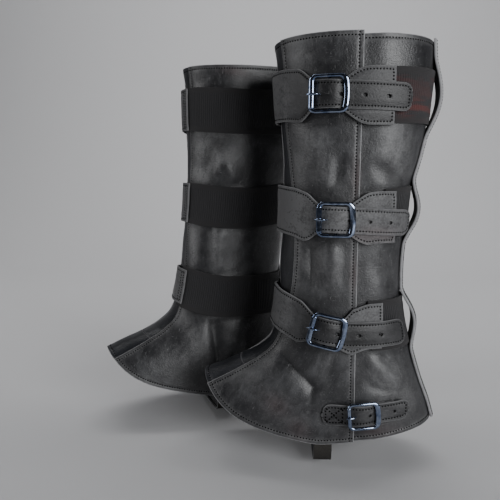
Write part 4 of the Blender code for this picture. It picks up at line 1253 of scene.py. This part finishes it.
def hem_belt(cover):
    belt = HEM_BELT

    def line(forward):
        return belt["z_bar"] + belt["slope"] * (forward - belt["bar"])

    forward = belt["front"] - spaced(belt["front"] - belt["tip"], 1.4, TIP_STEPS, TIP_STEPS)
    ends = np.minimum(belt["front"] - forward, forward - belt["tip"])
    width = belt["width"] - belt["narrow"] * (belt["front"] - forward)
    above = across_steps(np.maximum(tip_width(ends, 7.0, width), 3.5), 1.3)
    forward = np.broadcast_to(forward[:, None], above.shape)
    forward, above, keep = open_holes(forward, above, HEM_HOLES, HEM_HOLE)
    turn, place = side_turn(forward, line(forward) + above, cover)
    valley = 0.25 * seam_relief(above)[0]
    ahead = forward - belt["bar"]
    rise = strap_rise(ahead) - HEM_SEAT * ease((ahead - 18.0) / 14.0)
    points = laid(turn, place, rise - valley, cover)
    # Painted shade in the stitch grooves.
    faces = shell(cover, "hem_strap", points, STRAP_LEATHER, STRAP, keep,
                  wear=0.2 + rubs(points, "hem", 0.8), red=0.0, dirt=valley)
    c = STRAP_COLUMN
    first = 5
    ring(cover, faces, first, len(points) - 6)
    box_end = int(np.argmin(np.abs(forward[:, 0] - (belt["front"] - 19.0))))
    rows = np.arange(first, box_end + 1)
    across = np.linspace(c, points.shape[1] - 1.01 - c, len(rows))
    for path in (across, across[::-1]):
        column = path.astype(int)
        share = (path - column)[:, None]
        stitch(cover, *(grid[rows, column] * (1 - share) + grid[rows, column + 1] * share
                        for grid in faces))
    sew(cover, faces, (box_end, slice(c, -c)))
    buckle_tab(cover, "hem", belt, line, HEM_FOLD, HEM_FOLD_END, lambda ahead: 0 * ahead)
    buckle(cover, "hem", HEM_BUCKLE, belt, line)
    prong(cover, "hem", belt, line)


def stirrup(cover):
    """The strap under the arch, sewn inside both side panels."""
    across = spaced(STIRRUP_WIDTH, 2.0, STRAP_STEPS, STRAP_STEPS) - STIRRUP_WIDTH / 2
    forward = STIRRUP_FORWARD + across

    def leaf(up):
        turn, place = side_turn(forward, up, cover)
        return laid(turn, place, np.full(forward.shape, -STIRRUP_GAP), cover)[:, 1]

    heights = np.linspace(STIRRUP_TOP, STIRRUP_LEAVES, 9)[:-1]
    upper = np.stack([leaf(z) for z in heights])
    steps = np.linspace(0, math.pi, 61)[:, None]
    exponent = 2.0 / STIRRUP_SQUARE
    outward = np.vstack([upper, leaf(STIRRUP_LEAVES) * power(np.cos(steps), exponent), -upper[::-1]])
    down = STIRRUP_LEAVES - (STIRRUP_LEAVES - STIRRUP_BOTTOM) * power(np.sin(steps), exponent)
    up = np.vstack([heights[:, None], down, heights[::-1][:, None]])
    points = np.stack(np.broadcast_arrays(forward, outward, up), axis=-1)
    faces = shell(cover, "stirrup", points, STRAP_LEATHER, STRAP, wear=0.5, red=0.0, dirt=0.2)
    for column in (STRAP_COLUMN, -1 - STRAP_COLUMN):
        sew(cover, faces, (slice(None), column))


for each_cover in COVERS:
    each_cover["stitches"] = []
    for build in (front_strips, side_panels, back_strip, belt_sets, hem_belt, stirrup, stitches):
        build(each_cover)


# ---- floor, light, camera

SWEEP_FROM = 1.0
SWEEP = 1.2
FLOOR_HALF = 6.0
CENTRE = (-0.06, 0.05, 0.05)
# Lights: name, place, target, size, energy and colour.
LIGHTS = (
    ("key", (1.00, -1.45, 0.52), CENTRE, (1.2, 0.9), 33.5, (0.98, 0.99, 1.0)),
    ("fill", (-1.80, -0.35, 0.6), CENTRE, (0.7, 0.9), 8.0, (0.99, 0.99, 1.0)),
    ("top", (-0.1, 0.5, 1.7), CENTRE, (1.4, 1.0), 6.0, (1.0, 1.0, 1.0)),
    ("backdrop", (0.0, 0.6, 1.6), (0.0, 2.0, 0.4), (2.4, 0.6), 32.0, (1.0, 1.0, 1.0)),
)


def floor():
    """A plain floor that sweeps up into the backdrop."""
    level = -ORIGIN_HEIGHT * MM
    profile = [(-FLOOR_HALF, 0.0)]
    for i in range(25):
        angle = math.pi / 2 * i / 24
        profile.append((SWEEP_FROM + SWEEP * math.sin(angle), SWEEP * (1 - math.cos(angle))))
    profile.append((SWEEP_FROM + SWEEP, 5.0))
    vertices = [(x, y, level + z) for y, z in profile for x in (-FLOOR_HALF, FLOOR_HALF)]
    faces = [(2 * i, 2 * i + 1, 2 * i + 3, 2 * i + 2) for i in range(len(profile) - 1)]
    made = add("floor", new_mesh("floor", vertices, faces))
    paper = Skin("floor_paper", Roughness=0.9, Specular_IOR_Level=0.1,
                 Base_Color=(0.50, 0.50, 0.51, 1.0))
    made.data.materials.append(paper.made)


def lights():
    for name, location, target, size, energy, colour in LIGHTS:
        data = bpy.data.lights.new(name, "AREA")
        data.shape = "RECTANGLE"
        data.size, data.size_y = size
        data.energy = energy
        data.color = colour
        made = add(name, data)
        made.location = location
        made.rotation_euler = (Vector(target) - made.location).to_track_quat("-Z", "Y").to_euler()
    world = bpy.data.worlds.new("studio")
    world.use_nodes = True
    world.node_tree.nodes["Background"].inputs["Color"].default_value = (0.80, 0.82, 0.86, 1.0)
    world.node_tree.nodes["Background"].inputs["Strength"].default_value = 0.04
    bpy.context.scene.world = world


def camera():
    data = bpy.data.cameras.new("camera")
    data.sensor_width = 36.0
    data.sensor_fit = "HORIZONTAL"
    data.lens = 40.76
    made = add("camera", data)
    made.location = (-0.0800, -0.5861, 0.1465)
    made.rotation_euler = (math.pi / 2 - 0.136, 0.0, 0.053)
    bpy.context.scene.camera = made


floor()
camera()
lights()
